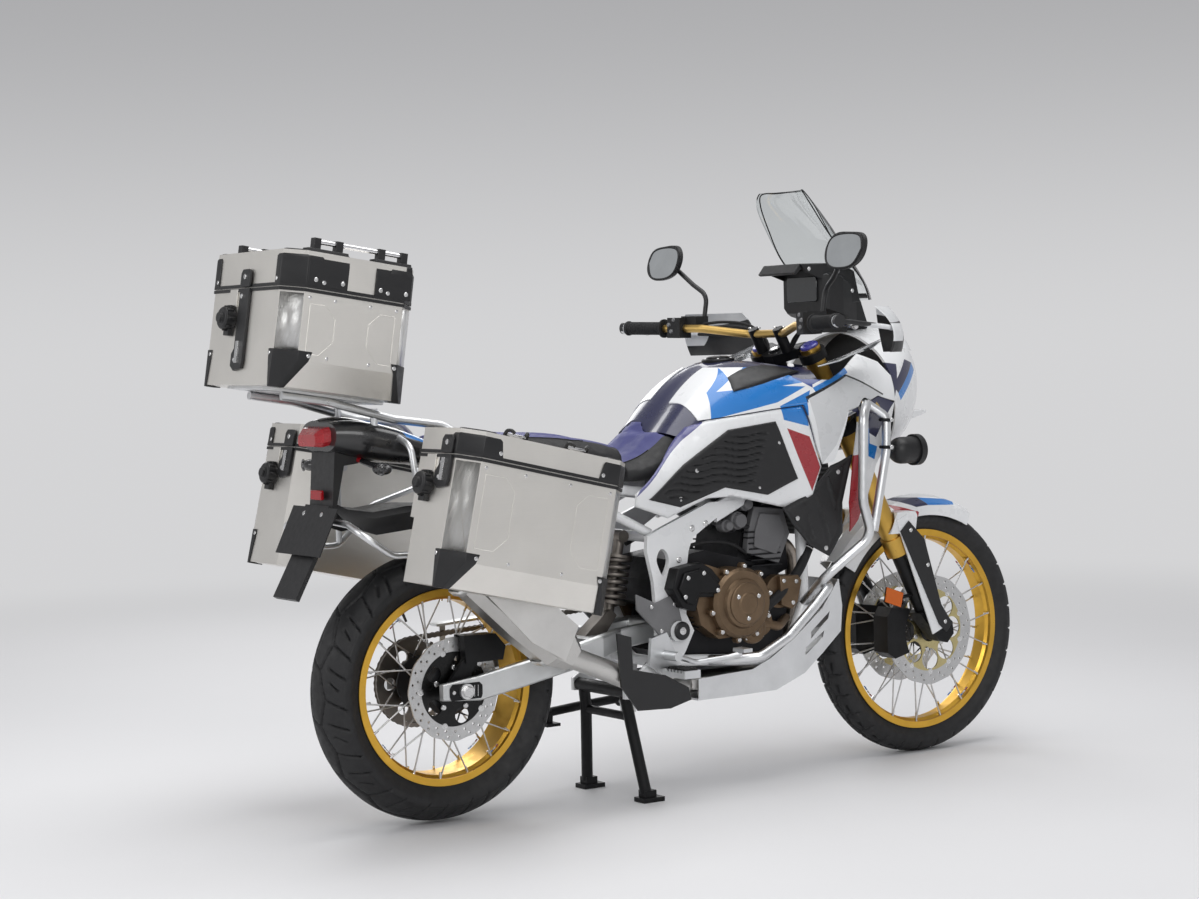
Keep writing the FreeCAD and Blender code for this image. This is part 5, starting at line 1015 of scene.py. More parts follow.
    def handles(self):
        """Two folding handles on the lid."""
        loops = self.batch("handles", "black_plastic", lid=True)
        bars = self.batch("handle_bars", "chrome", lid=True)
        for x in (152, 322):
            for end in (-30, 30):
                self.block(loops, x + end, 7, (62, 38), self.top - 0.2, self.top + 5)
                loops.tube([self.point(x + end * share, depth, self.top + high) for share, depth, high in
                            ((1, 50, 4), (0.95, 44, 16), (0.72, 36, 18), (0.5, 30, 12))], 4.2, 10)
            bars.rod(self.point(x - 26, 50, self.top + 9), self.point(x + 26, 50, self.top + 9), 4.4)
        loops.done(bevel=0.8)
        bars.done()

    def rails(self):
        """Posts along the lid's edge that carry a bright rod."""
        posts = self.batch("rail_posts", "black_plastic", lid=True)
        for x in (70, 128, 240, 300):
            self.block(posts, x, 9, (14, 34), self.top - 0.5, self.top + 34)
        posts.done(bevel=1.0)
        cover = self.batch("rail_cover", "black_plastic", lid=True)
        top = self.top
        profile = [(-3.4, 8), (-3.4, top - 22), (10, top + 9), (40, top + 9), (40, top + 0.5), (4, top + 0.5),
                   (-0.2, top - 22), (-0.2, 8)]
        for first, last in ((46, 150), (222, 318)):
            cover.prism([(self.side * (self.outer - depth), z) for depth, z in profile], first, last, "yz")
        cover.done(bevel=1.0)
        ends = self.point(62, 24, top + 26), self.point(310, 24, top + 26)
        self.batch("rail_rod", "chrome", lid=True).rod(*ends, 6).done()
        screws = self.batch("rail_screws", "screw", lid=True)
        for x in (66, 136, 236, 304):
            screws.screw(self.point(x, -3.4, 22), (0, self.side, 0), 5.5, 2.5)
        screws.done()


def make_cases():
    for side, word in zip(SIDES, ("right", "left")):
        name = f"{word}_pannier"
        case = CaseDress(name, f"{name}_case", f"{name}_lid", PANNIER_SPACE, PANNIER_SIZE, 512.0, side)
        case.corners()
        case.seam(244.0)
        case.embossing()
        case.latch(side * 390 - 46, side * 390 + 22, 60)
        case.handles()
    for side, word in zip(SIDES, ("right", "left")):
        case = CaseDress(f"top_case_{word}", "top_case", "top_case_lid", TOP_SPACE, TOP_SIZE, 212.0, side)
        case.corners()
        case.embossing()
        case.rails()
        if word == "right":
            case.seam(424.0)
            case.latch(-4, 60, 176)
    half = [(118, -22), (126, -34), (118, -108), (104, -116)]
    pad = Batch("top_case_back_pad", "top_case", "rubber", TOP_SPACE)
    pad.prism([(-118, -22)] + half + [(-y, z) for y, z in half[:0:-1]], 344.6, 368, "yz")
    pad.done(bevel=7.0)


# Bodywork
WING_OUTLINE = [(1000, 997), (1037, 895), (1062, 835), (1044, 762), (985, 727), (807, 768), (726, 767),
                (609, 722), (500, 758), (500, 790), (597, 868), (656, 925), (686, 952), (740, 968),
                (905, 987), (943, 991)]
PANEL_OUTLINE = [(539, 774), (652, 857), (785, 942), (921, 959), (995, 806), (910, 767), (778, 793),
                 (642, 749)]
SHROUD_OUTLINE = [(1030, 762), (1090, 835), (1117, 844), (1157, 862), (1153, 735), (1174, 652), (1143, 588),
                  (1065, 624), (996, 684), (952, 729)]
KNEE_OUTLINE = [(829, 131, 1076), (908, 110, 1107), (997, 124, 1105), (1039, 176, 1085), (898, 183, 1053),
                (820, 168, 1038)]
PANEL_HIGH = 2.6
SLOT_PITCH = 17.0
SLOT_DEPTH = 4.0
RIB_PITCH = 46.0
RIB_HIGH = 3.0


def held(value):
    """A number held between 0 and 1."""
    return min(max(value, 0.0), 1.0)


def edge_distance(x, z, outline):
    """How far a place lies from an outline's nearest edge."""
    best = 1e9
    for (a0, b0), (a1, b1) in zip(outline, outline[1:] + outline[:1]):
        way_a, way_b = a1 - a0, b1 - b0
        share = held(((x - a0) * way_a + (z - b0) * way_b) / (way_a ** 2 + way_b ** 2))
        best = min(best, math.hypot(x - a0 - share * way_a, z - b0 - share * way_b))
    return best


def skin_lift(x, z):
    """Level, and turned in at the edge."""
    return 0.6 - 3.0 * held(1 - edge_distance(x, z, WING_OUTLINE) / 5.0)


def louvre_lift(x, z):
    """Waved slots across the panel's rear part, and a step round its edge."""
    inset = edge_distance(x, z, PANEL_OUTLINE)
    band = ((z + 4.5 * math.sin(x / 21.0)) / SLOT_PITCH) % 1.0
    slot = held((0.5 - abs(band - 0.5)) * 9.0 - 2.6)
    inside = held((inset - 15.0) / 4.0)
    rear = held((885.0 - x + (z - 860) * 0.25) / 6.0)
    return PANEL_HIGH + held(inset / 5.0) * PANEL_HIGH - slot * inside * rear * SLOT_DEPTH


def shroud_reach(x, z):
    return 150 + (z - 590) * 0.32


def shroud_lift(x, z):
    """A raised rim and slanted ribs."""
    inset = edge_distance(x, z, SHROUD_OUTLINE)
    rib = ((x * 0.86 + z * 0.5) / RIB_PITCH) % 1.0
    return held((13.0 - inset) / 4.0) * 4.0 + (RIB_HIGH if rib < 0.22 and inset > 20 else 0.0)


def make_bodywork():
    reach = SideSkin(["side_panels", "tank_shrouds"], (480, 690), (1100, 1120), 5.0)
    skin = Batch("side_skin", "side_panels", "wings")
    skin.cover(WING_OUTLINE, reach, skin_lift, 6.0)
    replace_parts(skin.done(solid=-3.0, even=True, angle=50), "side_panels")
    panel = Batch("louvred_panels", "side_panels", "black_plastic")
    panel.cover(PANEL_OUTLINE, reach, louvre_lift, 3.4).done(solid=-2.0, even=True, angle=60)
    shroud = Batch("radiator_shrouds", "tank_shrouds", "black_plastic")
    shroud.cover(SHROUD_OUTLINE, shroud_reach, shroud_lift, 5.0).done(solid=-4.0, even=True, angle=40)
    make_deflectors()
    screws = Batch("panel_screws", "tank_shrouds", "screw")
    for x, z in ((690, 842), (935, 905), (884, 790), (640, 770)):
        screws.screws([(x, z)], reach(x, z) + PANEL_HIGH, 6.5, 2.2)
    for x, z in ((1128, 612), (1010, 700), (1120, 818)):
        screws.screws([(x, z)], shroud_reach(x, z) + 1, 6.5, 2.2)
    screws.done()


def make_deflectors():
    """Black knee pads beside the tank, and clear smoked plates before them."""
    knee = Batch("knee_deflectors", "tank_shrouds", "black_plastic")
    clear = Batch("smoked_deflectors", "tank_shrouds", "smoke")
    edge = Batch("deflector_edges", "tank_shrouds", "rack")
    ring = [Vector(p) for p in KNEE_OUTLINE]
    middle = sum(ring, Vector()) / len(ring)
    low = [(1076, 205, 1098), (1240, 225, 1140)]
    ridge = [(1090, 238, 1108), (1246, 248, 1156)]
    top = [(1100, 262, 1112), (1250, 262, 1165)]
    for side in SIDES:
        rows = []
        for scale, out in ((1.0, 0.0), (0.93, 5.0), (0.80, 8.5), (0.45, 11.0)):
            scaled = [middle + (p - middle) * scale for p in ring]
            rows.append([(p.x, side * (p.y + out * 0.75), p.z + out * 0.66) for p in scaled])
        knee.rows(rows, closed=True, caps=True)
        clear.rows([[(x, side * y, z) for x, y, z in row] for row in (low, ridge, top)])
        edge.tube([(x, side * y, z) for x, y, z in (low[0], top[0], top[1], low[1])], 2.2, 8, False)
    knee.done(bevel=1.5, levels=1)
    clear.done(solid=3.0)
    edge.done()


# Seats
CUSHION_MESH = 0.006
SUNK = 0.002
SIDEWAYS = 0.35
PRESSURE = 4.0
CLOTH_FRAMES = 20
SEAM_Y = 104


def places_of(mesh):
    places = np.empty(len(mesh.vertices) * 3)
    mesh.vertices.foreach_get("co", places)
    return places.reshape(-1, 3)


def applied(piece):
    """The mesh after its modifiers, which are taken off."""
    graph = bpy.context.evaluated_depsgraph_get()
    mesh = bpy.data.meshes.new_from_object(piece.evaluated_get(graph))
    piece.modifiers.clear()
    return mesh


def blown_up(piece, underside):
    """The places of a cushion's points after its cover is blown up, with its underside held."""
    held_points = piece.vertex_groups.new(name="held")
    held_points.add([int(i) for i in np.nonzero(underside)[0]], 1.0, "REPLACE")
    settings = piece.modifiers.new("cover", "CLOTH").settings
    settings.quality = 4
    settings.use_pressure, settings.uniform_pressure_force = True, PRESSURE
    settings.vertex_group_mass = "held"
    settings.effector_weights.gravity = 0.0
    settings.tension_stiffness = settings.compression_stiffness = 25.0
    settings.bending_stiffness = 6.0
    for number in range(1, CLOTH_FRAMES + 1):
        bpy.context.scene.frame_set(number)
    places = places_of(applied(piece))
    bpy.context.scene.frame_set(1)
    return places


def make_cushion(name, node, lift):
    """The seat's own shape blown up a little under its cover, by no more than a lift in metres."""
    piece = bpy.data.objects.new(name, frame["nodes"][node].data.copy())
    bpy.context.scene.collection.objects.link(piece)
    shape = piece.modifiers.new("even mesh", "REMESH")
    shape.mode, shape.voxel_size, shape.use_smooth_shade = "VOXEL", CUSHION_MESH, True
    calm = piece.modifiers.new("calm", "SMOOTH")
    calm.factor, calm.iterations = 0.5, 4
    piece.data = mesh = applied(piece)
    rest = places_of(mesh)
    normals = np.empty(rest.size)
    mesh.vertex_normals.foreach_get("vector", normals)
    normals = normals.reshape(-1, 3)
    underside = normals[:, 2] < 0.05
    start = rest - normals * np.where(underside, 0.0, SUNK)[:, None]
    mesh.vertices.foreach_set("co", start.ravel())
    way = blown_up(piece, underside) - rest
    length = np.linalg.norm(way, axis=1, keepdims=True)
    way *= np.minimum(1.0, lift / np.maximum(length, 1e-9))
    way[:, :2] *= SIDEWAYS
    mesh.vertices.foreach_set("co", (rest + way).ravel())
    mesh.materials.clear()
    mesh.materials.append(MATERIALS["seat"])
    mesh.shade_smooth()
    fine = piece.modifiers.new("round", "SUBSURF")
    fine.levels = fine.render_levels = 1
    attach(piece, BODY_OF[node])
    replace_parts(piece, node)
    return piece


def make_seat(name, node, lift, first, last):
    """A cushion, with raised seam cords where its top cover meets its sides."""
    piece = make_cushion(name, node, lift)
    cords = Batch(f"{node}_seams", node, "rubber")
    tree = BVHTree.FromObject(piece, bpy.context.evaluated_depsgraph_get())
    for side in SIDES:
        line = []
        for x in range(first, last, 10):
            hit = tree.ray_cast(at(x, side * SEAM_Y, 1200), Vector((0, 0, -1)), 0.6)[0]
            if hit is not None:
                line.append((x, side * SEAM_Y, hit.z / MM + 0.4))
        if len(line) > 3:
            cords.tube(line, 1.6, 8, False)
    cords.done()


def make_seats():
    make_seat("rider_cushion", "rider_seat", 0.007, 400, 600)
    make_seat("passenger_cushion", "passenger_seat", 0.006, 20, 400)


# Engine and frame dress
RIGHT_COVER = (825, 490)
LEFT_COVER = (850, 478)
COVER_TURN = 0.2
PLATE_TILT = math.radians(25.5)


def make_engine():
    cover = Batch("clutch_side_cover", "engine_covers", "black_metal")
    cover.prism([(625, 593), (699, 604), (733, 585), (778, 536), (765, 509), (720, 513), (691, 515),
                 (678, 479), (639, 491), (607, 540)], -176, -108)
    cover.prism([(640, 580), (695, 589), (722, 574), (760, 533), (752, 520), (690, 527), (668, 497),
                 (648, 504), (622, 541)], -184, -170)
    cover.done(bevel=3.0)
    bronze = Batch("right_engine_castings", "engine_covers", "bronze")
    bronze.prism([(976, 546), (1037, 546), (1049, 531), (1035, 475), (1016, 457), (980, 470)], -150, -100)
    bronze.turned([(0, 40), (14, 40), (20, 36), (22, 20), (30, 18)], (873, -150, 418), RIGHT, 36)
    bronze.turned([(0, 55), (5, 55), (8, 50), (8, 30), (12, 26), (12, 8)], (825, -199, 490), RIGHT, 40)
    for angle in turns(10):
        place = on_circle(RIGHT_COVER, 96, angle + COVER_TURN, -158)
        bronze.turned([(0, 9.5), (16, 9.5), (20, 8)], place, RIGHT, 16)
    bronze.done(bevel=1.5)
    grey = Batch("cylinder_and_intakes", "engine_block", "intake")
    grey.prism([(916, 734), (1012, 723), (1034, 656), (995, 578), (889, 613), (896, 669)], -122, -100)
    grey.prism([(932, 716), (1000, 708), (1014, 656), (984, 603), (910, 628), (914, 668)], -128, -118)
    for x, z, size in ((862, 700, 24), (888, 742, 19), (824, 688, 17)):
        grey.turned([(0, size), (26, size), (30, size - 4), (42, size - 6)], (x, -96, z), RIGHT, 24)
    grey.done(bevel=2.0)
    fins = Batch("cylinder_fins", "engine_block", "engine")
    for k in range(7):
        x, z = 902 - k * 2, 575 + k * 15
        fins.box((x, -126, z), (x + 102, -100, z + 4))
        fins.box((x, 100, z), (x + 102, 124, z + 4))
    for k in range(5):
        fins.box((700, -132, 430 + k * 13), (742, -104, 434 + k * 13))
    fins.done(bevel=0.8)
    hoses = Batch("coolant_hoses", "engine_block", "rubber")
    for radius, *line in (
            (13, (905, -150, 440), (930, -150, 470), (985, -140, 500), (1060, -128, 560), (1120, -118, 650)),
            (12, (940, -112, 745), (1000, -118, 760), (1070, -112, 790), (1140, -100, 820)),
            (6, (760, -96, 760), (800, -112, 720), (850, -112, 690), (905, -116, 680)),
            (5, (690, -110, 640), (760, -118, 650), (840, -114, 640), (896, -112, 610)),
            (6, (660, 106, 640), (740, 116, 660), (830, 112, 640), (900, 108, 600), (980, 104, 560))):
        hoses.tube(line, radius, 14 if radius > 10 else 10)
    hoses.done()
    clamps = Batch("hose_clamps", "engine_block", "screw")
    for place, along in (((922, -150, 461), (25, 0, 30)), ((1095, -122, 612), (60, 10, 90)),
                         ((960, -114, 750), (60, -6, 15)), ((1120, -104, 812), (70, 12, 30))):
        clamps.ring(place, along, 13.5, 1.6, 32, 8)
    clamps.done()
    steel = Batch("right_engine_screws", "engine_covers", "screw")
    for angle in turns(10):
        steel.screw(on_circle(RIGHT_COVER, 96, angle + COVER_TURN, -178), RIGHT, 6, 4.5)
    for angle in turns(3):
        steel.screw(on_circle(RIGHT_COVER, 38, angle + 0.5, -207), RIGHT, 6, 4)
    steel.screws([(650, 568), (700, 577), (744, 530), (640, 520)], 184, sides=(-1,))
    steel.screws([(988, 534), (1030, 530), (1018, 474)], 150, sides=(-1,))
    steel.screws([(848, 394), (900, 398), (892, 440), (852, 444)], 166, 4.5, 3, sides=(-1,))
    steel.done()
    plaque = Batch("engine_plaque", "engine_block", "label")
    plaque.box((902, -125.6, 508), (970, -124.2, 526)).done(bevel=0.4)
    left = Batch("left_engine_screws", "engine_covers", "screw")
    for angle in turns(9):
        left.screw(on_circle(LEFT_COVER, 77, angle, 154), LEFT, 6, 4)
    for angle in turns(3):
        left.screw(on_circle(LEFT_COVER, 36, angle, 174), LEFT, 5.5, 3.5)
    left.done()


def make_frame_dress():
    cover = Batch("frame_pivot_covers", "main_frame", "grey_plastic")
    cover.plates([(514, 534), (574, 507), (620, 521), (642, 515), (658, 449), (674, 425), (662, 412),
                  (589, 419), (515, 493)], 137.5, 145).done(bevel=2.5)
    caps = Batch("pivot_caps", "main_frame", "black_plastic")
    for side in SIDES:
        caps.turned([(0, 24), (8, 24), (11, 20), (11, 4)], (650, side * 146, 430), (0, side, 0), 32)
    caps.done()
    steel = Batch("frame_screws", "main_frame", "screw")
    steel.screws([(650, 430)], 156, 10, 3)
    steel.screws([(560, 498), (632, 500), (590, 434)], 145, 5.5)
    steel.screws([(700, 690), (690, 560), (744, 700), (656, 612)], 137, 8)
    steel.done()
    blocks = Batch("axle_blocks", "swingarm", "black_metal")
    blocks.plates([(-40, 318), (44, 318), (48, 328), (48, 350), (40, 358), (-36, 358), (-44, 348),
                   (-44, 328)], 147.2, 150).done(bevel=2.0)
    nuts = Batch("axle_nuts", "swingarm", "screw")
    nuts.screws([(-34, 338)], 150, 5, 3)
    for side in SIDES:
        nuts.nut((0, side * 158, REAR_AXLE_Z), (0, side, 0), 15, 9)
        for x in (24, 34):
            nuts.rod((x, side * 150, 324), (x, side * 151.2, 352), 1.0, None, 6)
    nuts.done()
    make_silencer_bands()
    coil = []
    for k in range(121):
        way, angle = k / 2, math.tau * k / 8
        across, up = math.sin(angle), math.cos(angle)
        coil.append((530 + way + 2.8 * up, -96 + 7 * across, 300 + way + 6.3 * up))
    Batch("stand_springs", "main_frame", "screw").tube(coil, 1.6, 6, False).done()
    rubber = Batch("footpeg_rubbers", "foot_controls", "rubber")
    for k in range(6):
        rubber.plates([(598, 337.5), (640, 337.5), (640, 343), (598, 343)], 156 + k * 13, 164 + k * 13)
    rubber.done(bevel=1.2)


def make_silencer_bands():
    """Two eight-sided bands round the silencer."""
    start, end = Vector((244, -236, 408)), Vector((-92, -262, 678))
    along = (end - start).normalized()
    across = Vector((0, 1, 0))
    upward = along.cross(across).normalized()
    bands = Batch("silencer_bands", "muffler", "strip")
    for share in (0.16, 0.86):
        middles = [start.lerp(end, share) + along * shift for shift in (-9, 9)]
        bands.rows([circle(middle, across * 56.71, upward * 69.96, 8, 0.5) for middle in middles], closed=True)
    bands.done(solid=1.5)


def make_rear():
    rows = []
    for x, z, half, drop in ((110, 742, 70, 30), (60, 762, 84, 44), (-20, 786, 92, 52), (-110, 792, 94, 56),
                             (-200, 782, 90, 54), (-262, 792, 76, 44), (-296, 812, 60, 20)):
        arch = [(x, half, z - drop), (x, half - 4, z - 14), (x, half - 16, z), (x, 0, z + 6)]
        rows.append([(x, -y, high) for x, y, high in arch] + arch[2::-1])
    Batch("inner_fender", "rear_mudguard", "black_plastic").rows(rows).done(solid=-3.0, bevel=0.8)
    lens = Batch("indicator_lenses", "rear_lamps", "lens")
    amber = Batch("indicator_bulbs", "rear_lamps", "orange_lens")
    for side in SIDES:
        place, way = (-241, side * 196, 890), (-1, side * 0.25, 0)
        lens.turned([(0, 15), (3, 15), (5, 12), (6, 4)], place, way, 24)
        amber.turned([(0, 8), (1.5, 7)], place, way, 16)
    lens.done()
    amber.done()
    Batch("plate_reflector", "rear_mudguard", "red_lens").box((-314, -27, 815), (-306, 27, 838)).done(bevel=1.5)
    bolts = Batch("plate_screws", "rear_mudguard", "screw")
    away = Vector((-math.cos(PLATE_TILT), 0, math.sin(PLATE_TILT)))
    for y in (-45, 45):
        bolts.screw(Vector((-321, y, 781)) + away * 1.5, away, 6, 3)
    bolts.done()


# Bars, cockpit and front end
STEER_UP = Vector((-math.sin(math.radians(27.5)), 0, math.cos(math.radians(27.5))))
FORK_SLOPE = 0.5206
MIRROR_OUTLINE = [(-78, 6), (-62, 40), (-10, 50), (52, 44), (72, 16), (62, -26), (20, -44), (-48, -38)]


def make_bars():
    grips = Batch("grip_ribs", "hand_controls", "rubber")
    levers = Batch("lever_sheaths", "hand_controls", "screw")
    cables = Batch("control_cables", "hand_controls", "rubber")
    buttons = Batch("switch_buttons", "hand_controls", "grey_plastic")
    rings = Batch("grip_end_rings", "hand_controls", "violet")
    for side in SIDES:
        end = Vector((932, side * 457, 1214))
        along = (Vector((1003, side * 205, 1207)) - end).normalized()
        for k in range(18):
            grips.ring(end + along * (8 + k * 6.2), along, 17.0, 1.3, 28, 6)
        grips.turned([(-3, 19), (0, 20.5), (4, 20.5), (6, 18)], end, along, 32)
        grips.turned([(0, 18), (3, 22), (7, 22), (9, 18)], end + along * 122, along, 32)
        rings.turned([(-14, 9), (-12, 13), (-3.5, 13.5), (-2.5, 11)], end, along, 28)
        start, tip = end + along * 150 + Vector((40, 0, 6)), end + Vector((62, -side * 4, -14))
        levers.tube([start, (start + tip) / 2 + Vector((10, 0, 0)), tip], 6.4, 12)
        levers.turned([(-9, 3), (-7, 6.5), (0, 9), (7, 6.5), (9, 3)], tip, LEFT, 20)
        for way, forward, high in ((172, -24, 10), (180, -24, -8), (188, -22, 24)):
            place = end + along * way + Vector((forward, 0, high))
            buttons.turned([(-4, 6), (4, 6), (6, 4.5), (6, 2)], place, (-1, 0, 0.15), 16)
        for low in (0, 12):
            cables.tube([end + along * 196 + Vector((26, 0, 6 - low)), (1062, side * (190 - low), 1224 - low),
                         (1104, side * (120 - low), 1212 - low), (1112, side * (72 - low), 1172),
                         (1106, side * (48 - low / 2), 1136)], 4.2, 10)
    for batch in (grips, levers, cables, buttons, rings):
        batch.done()
    steel = Batch("clamp_screws", "triple_clamps", "screw")
    steel.nut(Vector((1688 - FORK_SLOPE * 1128, 0, 1128)) + STEER_UP * 13, STEER_UP, 15, 10)
    caps = Batch("fork_caps", "fork_uppers", "violet")
    for side in SIDES:
        for x in (1053, 1082):
            steel.screw((x, side * 53, 1203), (0, 0, 1), 5.5, 4)
        caps.turned([(-1, 25), (5, 25), (8, 22), (8, 14), (12, 13), (12, 4)],
                    (1728 - FORK_SLOPE * 1150, side * 105, 1150), STEER_UP, 32)
    steel.done()
    caps.done()


def in_mirror(side, point, scale, depth):
    """A place on a mirror's leaning face, from its outline's point."""
    a, b = point.x * scale, point.y * scale
    return (1012 + depth + 0.28 * b, side * (392 - a), 1392 + b)


def make_mirrors():
    glass = Batch("mirror_glasses", "mirrors", "glass")
    rims = Batch("mirror_rims", "mirrors", "rubber")
    loop = spline([(*p, 0) for p in MIRROR_OUTLINE + MIRROR_OUTLINE[:1]], 5)
    for side in SIDES:
        faces = [[in_mirror(side, p, 0.88, depth) for p in loop[:-1]] for depth in (-1.2, 1.0)]
        glass.rows(faces, closed=True, caps=True)
        rims.tube([in_mirror(side, p, 0.93, -0.2) for p in loop], 2.6, 8, False)
    glass.done()
    rims.done()


def make_cockpit():
    hood = Batch("cockpit_hood", "instruments", "black_plastic")
    hood.prism([(1102, 1349), (1123, 1374), (1259, 1376), (1309, 1354), (1300, 1340), (1250, 1360),
                (1130, 1360), (1110, 1344)], -78, 78)
    hood.plates([(1123, 1372), (1259, 1374), (1309, 1354), (1329, 1269), (1240, 1265), (1200, 1330),
                 (1140, 1350)], 78, 84)
    hood.done(bevel=2.0)
    display = Batch("display_glass", "instruments", "display")
    display.prism([(-60, 1272), (60, 1272), (64, 1278), (64, 1334), (60, 1340), (-60, 1340), (-64, 1334),
                   (-64, 1278)], 1191, 1197, "yz").done(bevel=1.5)
    steel = Batch("hood_screws", "instruments", "screw")
    steel.screws([(1150, 1360), (1250, 1352), (1300, 1300)], 84, 5.5, 2.5).done()
    edge = [(1323, 128, 1274), (1290, 136, 1330), (1226, 134, 1400), (1178, 120, 1470), (1140, 106, 1535),
            (1129, 88, 1568), (1152, 52, 1571)]
    edge = [(x, -y, z) for x, y, z in edge] + [(1158, 0, 1571)] + edge[::-1]
    Batch("screen_edge", "windscreen", "rubber").tube(edge, 1.8, 8).done()
    make_fuel_cap()


def make_fuel_cap():
    """The cap stands on the tank's top, square to it."""
    cap = Batch("fuel_cap", "fuel_tank", "black_metal")
    steel = Batch("fuel_cap_screws", "fuel_tank", "screw")
    tree = BVHTree.FromObject(frame["nodes"]["fuel_tank"], bpy.context.evaluated_depsgraph_get())
    hit, normal = tree.ray_cast(at(900, 0, 1400), Vector((0, 0, -1)), 0.6)[:2]
    if hit is not None:
        middle = Vector(((hit.x - REAR_AXLE.x) / MM, 0, hit.z / MM))
        up = Vector((normal.x, 0, abs(normal.z))).normalized()
        cap.turned([(-8, 44), (2, 44), (5, 41), (5, 32), (9, 30), (11, 24), (11, 5)], middle, up, 40)
        across = Vector(LEFT)
        for place in circle(middle + up * 5, across * 36, up.cross(across) * 36, 5):
            steel.screw(place, up, 3.4, 2)
        steel.box(middle + up * 11 - Vector((3, 12, 0.5)), middle + up * 11 + Vector((3, 12, 2)))
    cap.done()
    steel.done()


def make_front():
    guards = Batch("fork_guards", "front_mudguard", "black_plastic")
    guards.plates([(1435, 666), (1404, 638), (1539, 371), (1566, 348), (1588, 372), (1548, 427), (1491, 612)],
                  142, 145.5).done(bevel=1.2)
    steel = Batch("fork_guard_screws", "front_mudguard", "screw")
    steel.screws([(1440, 640), (1500, 540), (1560, 378)], 145.5, 6, 3).done()
    outline = [(1372, 486), (1431, 466), (1420, 426), (1364, 446)]
    Batch("fork_reflectors", "fork_lowers", "orange_lens").plates(outline, 118, 122.5).done(bevel=1.5)
    holder = Batch("reflector_brackets", "fork_lowers", "black_metal")
    holder.plates(outline, 114, 118.5)
    for side in SIDES:
        holder.rod((1415, side * 116, 452), (1478, side * 112, 458), 5)
    holder.done(bevel=1.0)
    lens = Batch("lamp_lenses", "front_lamps", "lens")
    light = Batch("lamp_reflectors", "front_lamps", "strip")
    for side in SIDES:
        rows = []
        for x, y, z, half_y, half_z in ((1462, 62, 1047, 46.8, 62.8), (1500, 46, 1052, 33.5, 47.5),
                                        (1510, 44, 1052, 27, 40)):
            rows.append(circle(Vector((x, side * y, z)), Vector((0, half_y, 0)), Vector((0, 0, half_z)), 28))
        lens.rows(rows, closed=True, caps=True)
        lamp = Vector((1357, side * 272, 868))
        lens.turned([(0, 38), (6, 36), (9, 28), (10, 6)], lamp, (1, 0, 0), 40)
        light.turned([(-1, 36), (1, 34), (1, 8)], lamp, (1, 0, 0), 40)
        for place in circle(lamp + Vector((1, 0, 0)), Vector((0, 20, 0)), Vector((0, 0, 20)), 12):
            light.turned([(0, 1), (1.5, 1)], place, (1, 0, 0), 8)
    for z in (1030, 1052, 1074):
        light.plates([(1500, z - 6), (1503, z - 6), (1503, z + 6), (1500, z + 6)], 28, 62)
    lens.done()
    light.done(bevel=0.8)
    clamps = Batch("crash_bar_clamps", "crash_bars", "black_metal")
    for side in SIDES:
        for x, y, z in ((1238, 284, 952), (1233, 289, 880)):
            clamps.ring((x, side * y, z), (0.05, 0, 1), 15, 4.5, 32, 8)
    clamps.done()
    steel = Batch("crash_bar_screws", "crash_bars", "screw")
    steel.screws([(1240, 952)], 304, 6, 4).screws([(1235, 880)], 308, 6, 4).done()


# Camera
CAMERA_AT = at(-3057, -5234, 1164)
YAW, PITCH, ROLL = (math.radians(angle) for angle in (34.2833, -2.39164, -1.42816))
LENS = 73.78


def make_camera():
    forward = Vector((math.sin(YAW) * math.cos(PITCH), math.cos(YAW) * math.cos(PITCH), math.sin(PITCH)))
    right = Vector((math.cos(YAW), -math.sin(YAW), 0))
    up = right.cross(forward)
    across = right * math.cos(ROLL) + up * math.sin(ROLL)
    upward = up * math.cos(ROLL) - right * math.sin(ROLL)
    data = bpy.data.cameras.new("camera")
    data.sensor_width = 36.0
    data.sensor_fit = "HORIZONTAL"
    data.lens = LENS
    data.clip_start, data.clip_end = 0.1, 100.0
    camera = bpy.data.objects.new("camera", data)
    bpy.context.scene.collection.objects.link(camera)
    turned = Matrix((across, upward, -forward)).transposed()
    camera.matrix_world = Matrix.Translation(CAMERA_AT) @ turned.to_4x4()
    bpy.context.scene.camera = camera


# Studio
HORIZON = (0.66, 0.66, 0.67, 1.0)
UPPER = (0.40, 0.40, 0.41, 1.0)
FLOOR_HALF = 40.0
FADE_FROM, FADE_TO = 1.9, 7.0


def area_lamp(name, place, target, size, watts):
    data = bpy.data.lights.new(name, "AREA")
    data.shape = "RECTANGLE"
    data.size, data.size_y = size
    data.energy = watts
    lamp = bpy.data.objects.new(name, data)
    bpy.context.scene.collection.objects.link(lamp)
    lamp.location = place
    lamp.rotation_euler = (Vector(target) - Vector(place)).to_track_quat("-Z", "Y").to_euler()


def seen_rays(tree):
    """1 for rays from the camera, a mirror or a clear piece, which see the backdrop."""
    path = tree.nodes.new("ShaderNodeLightPath")
    total = path.outputs["Is Camera Ray"]
    for name in ("Is Glossy Ray", "Is Transmission Ray"):
        larger = tree.nodes.new("ShaderNodeMath")
        larger.operation = "MAXIMUM"
        tree.links.new(total, larger.inputs[0])
        tree.links.new(path.outputs[name], larger.inputs[1])
        total = larger.outputs[0]
    return total


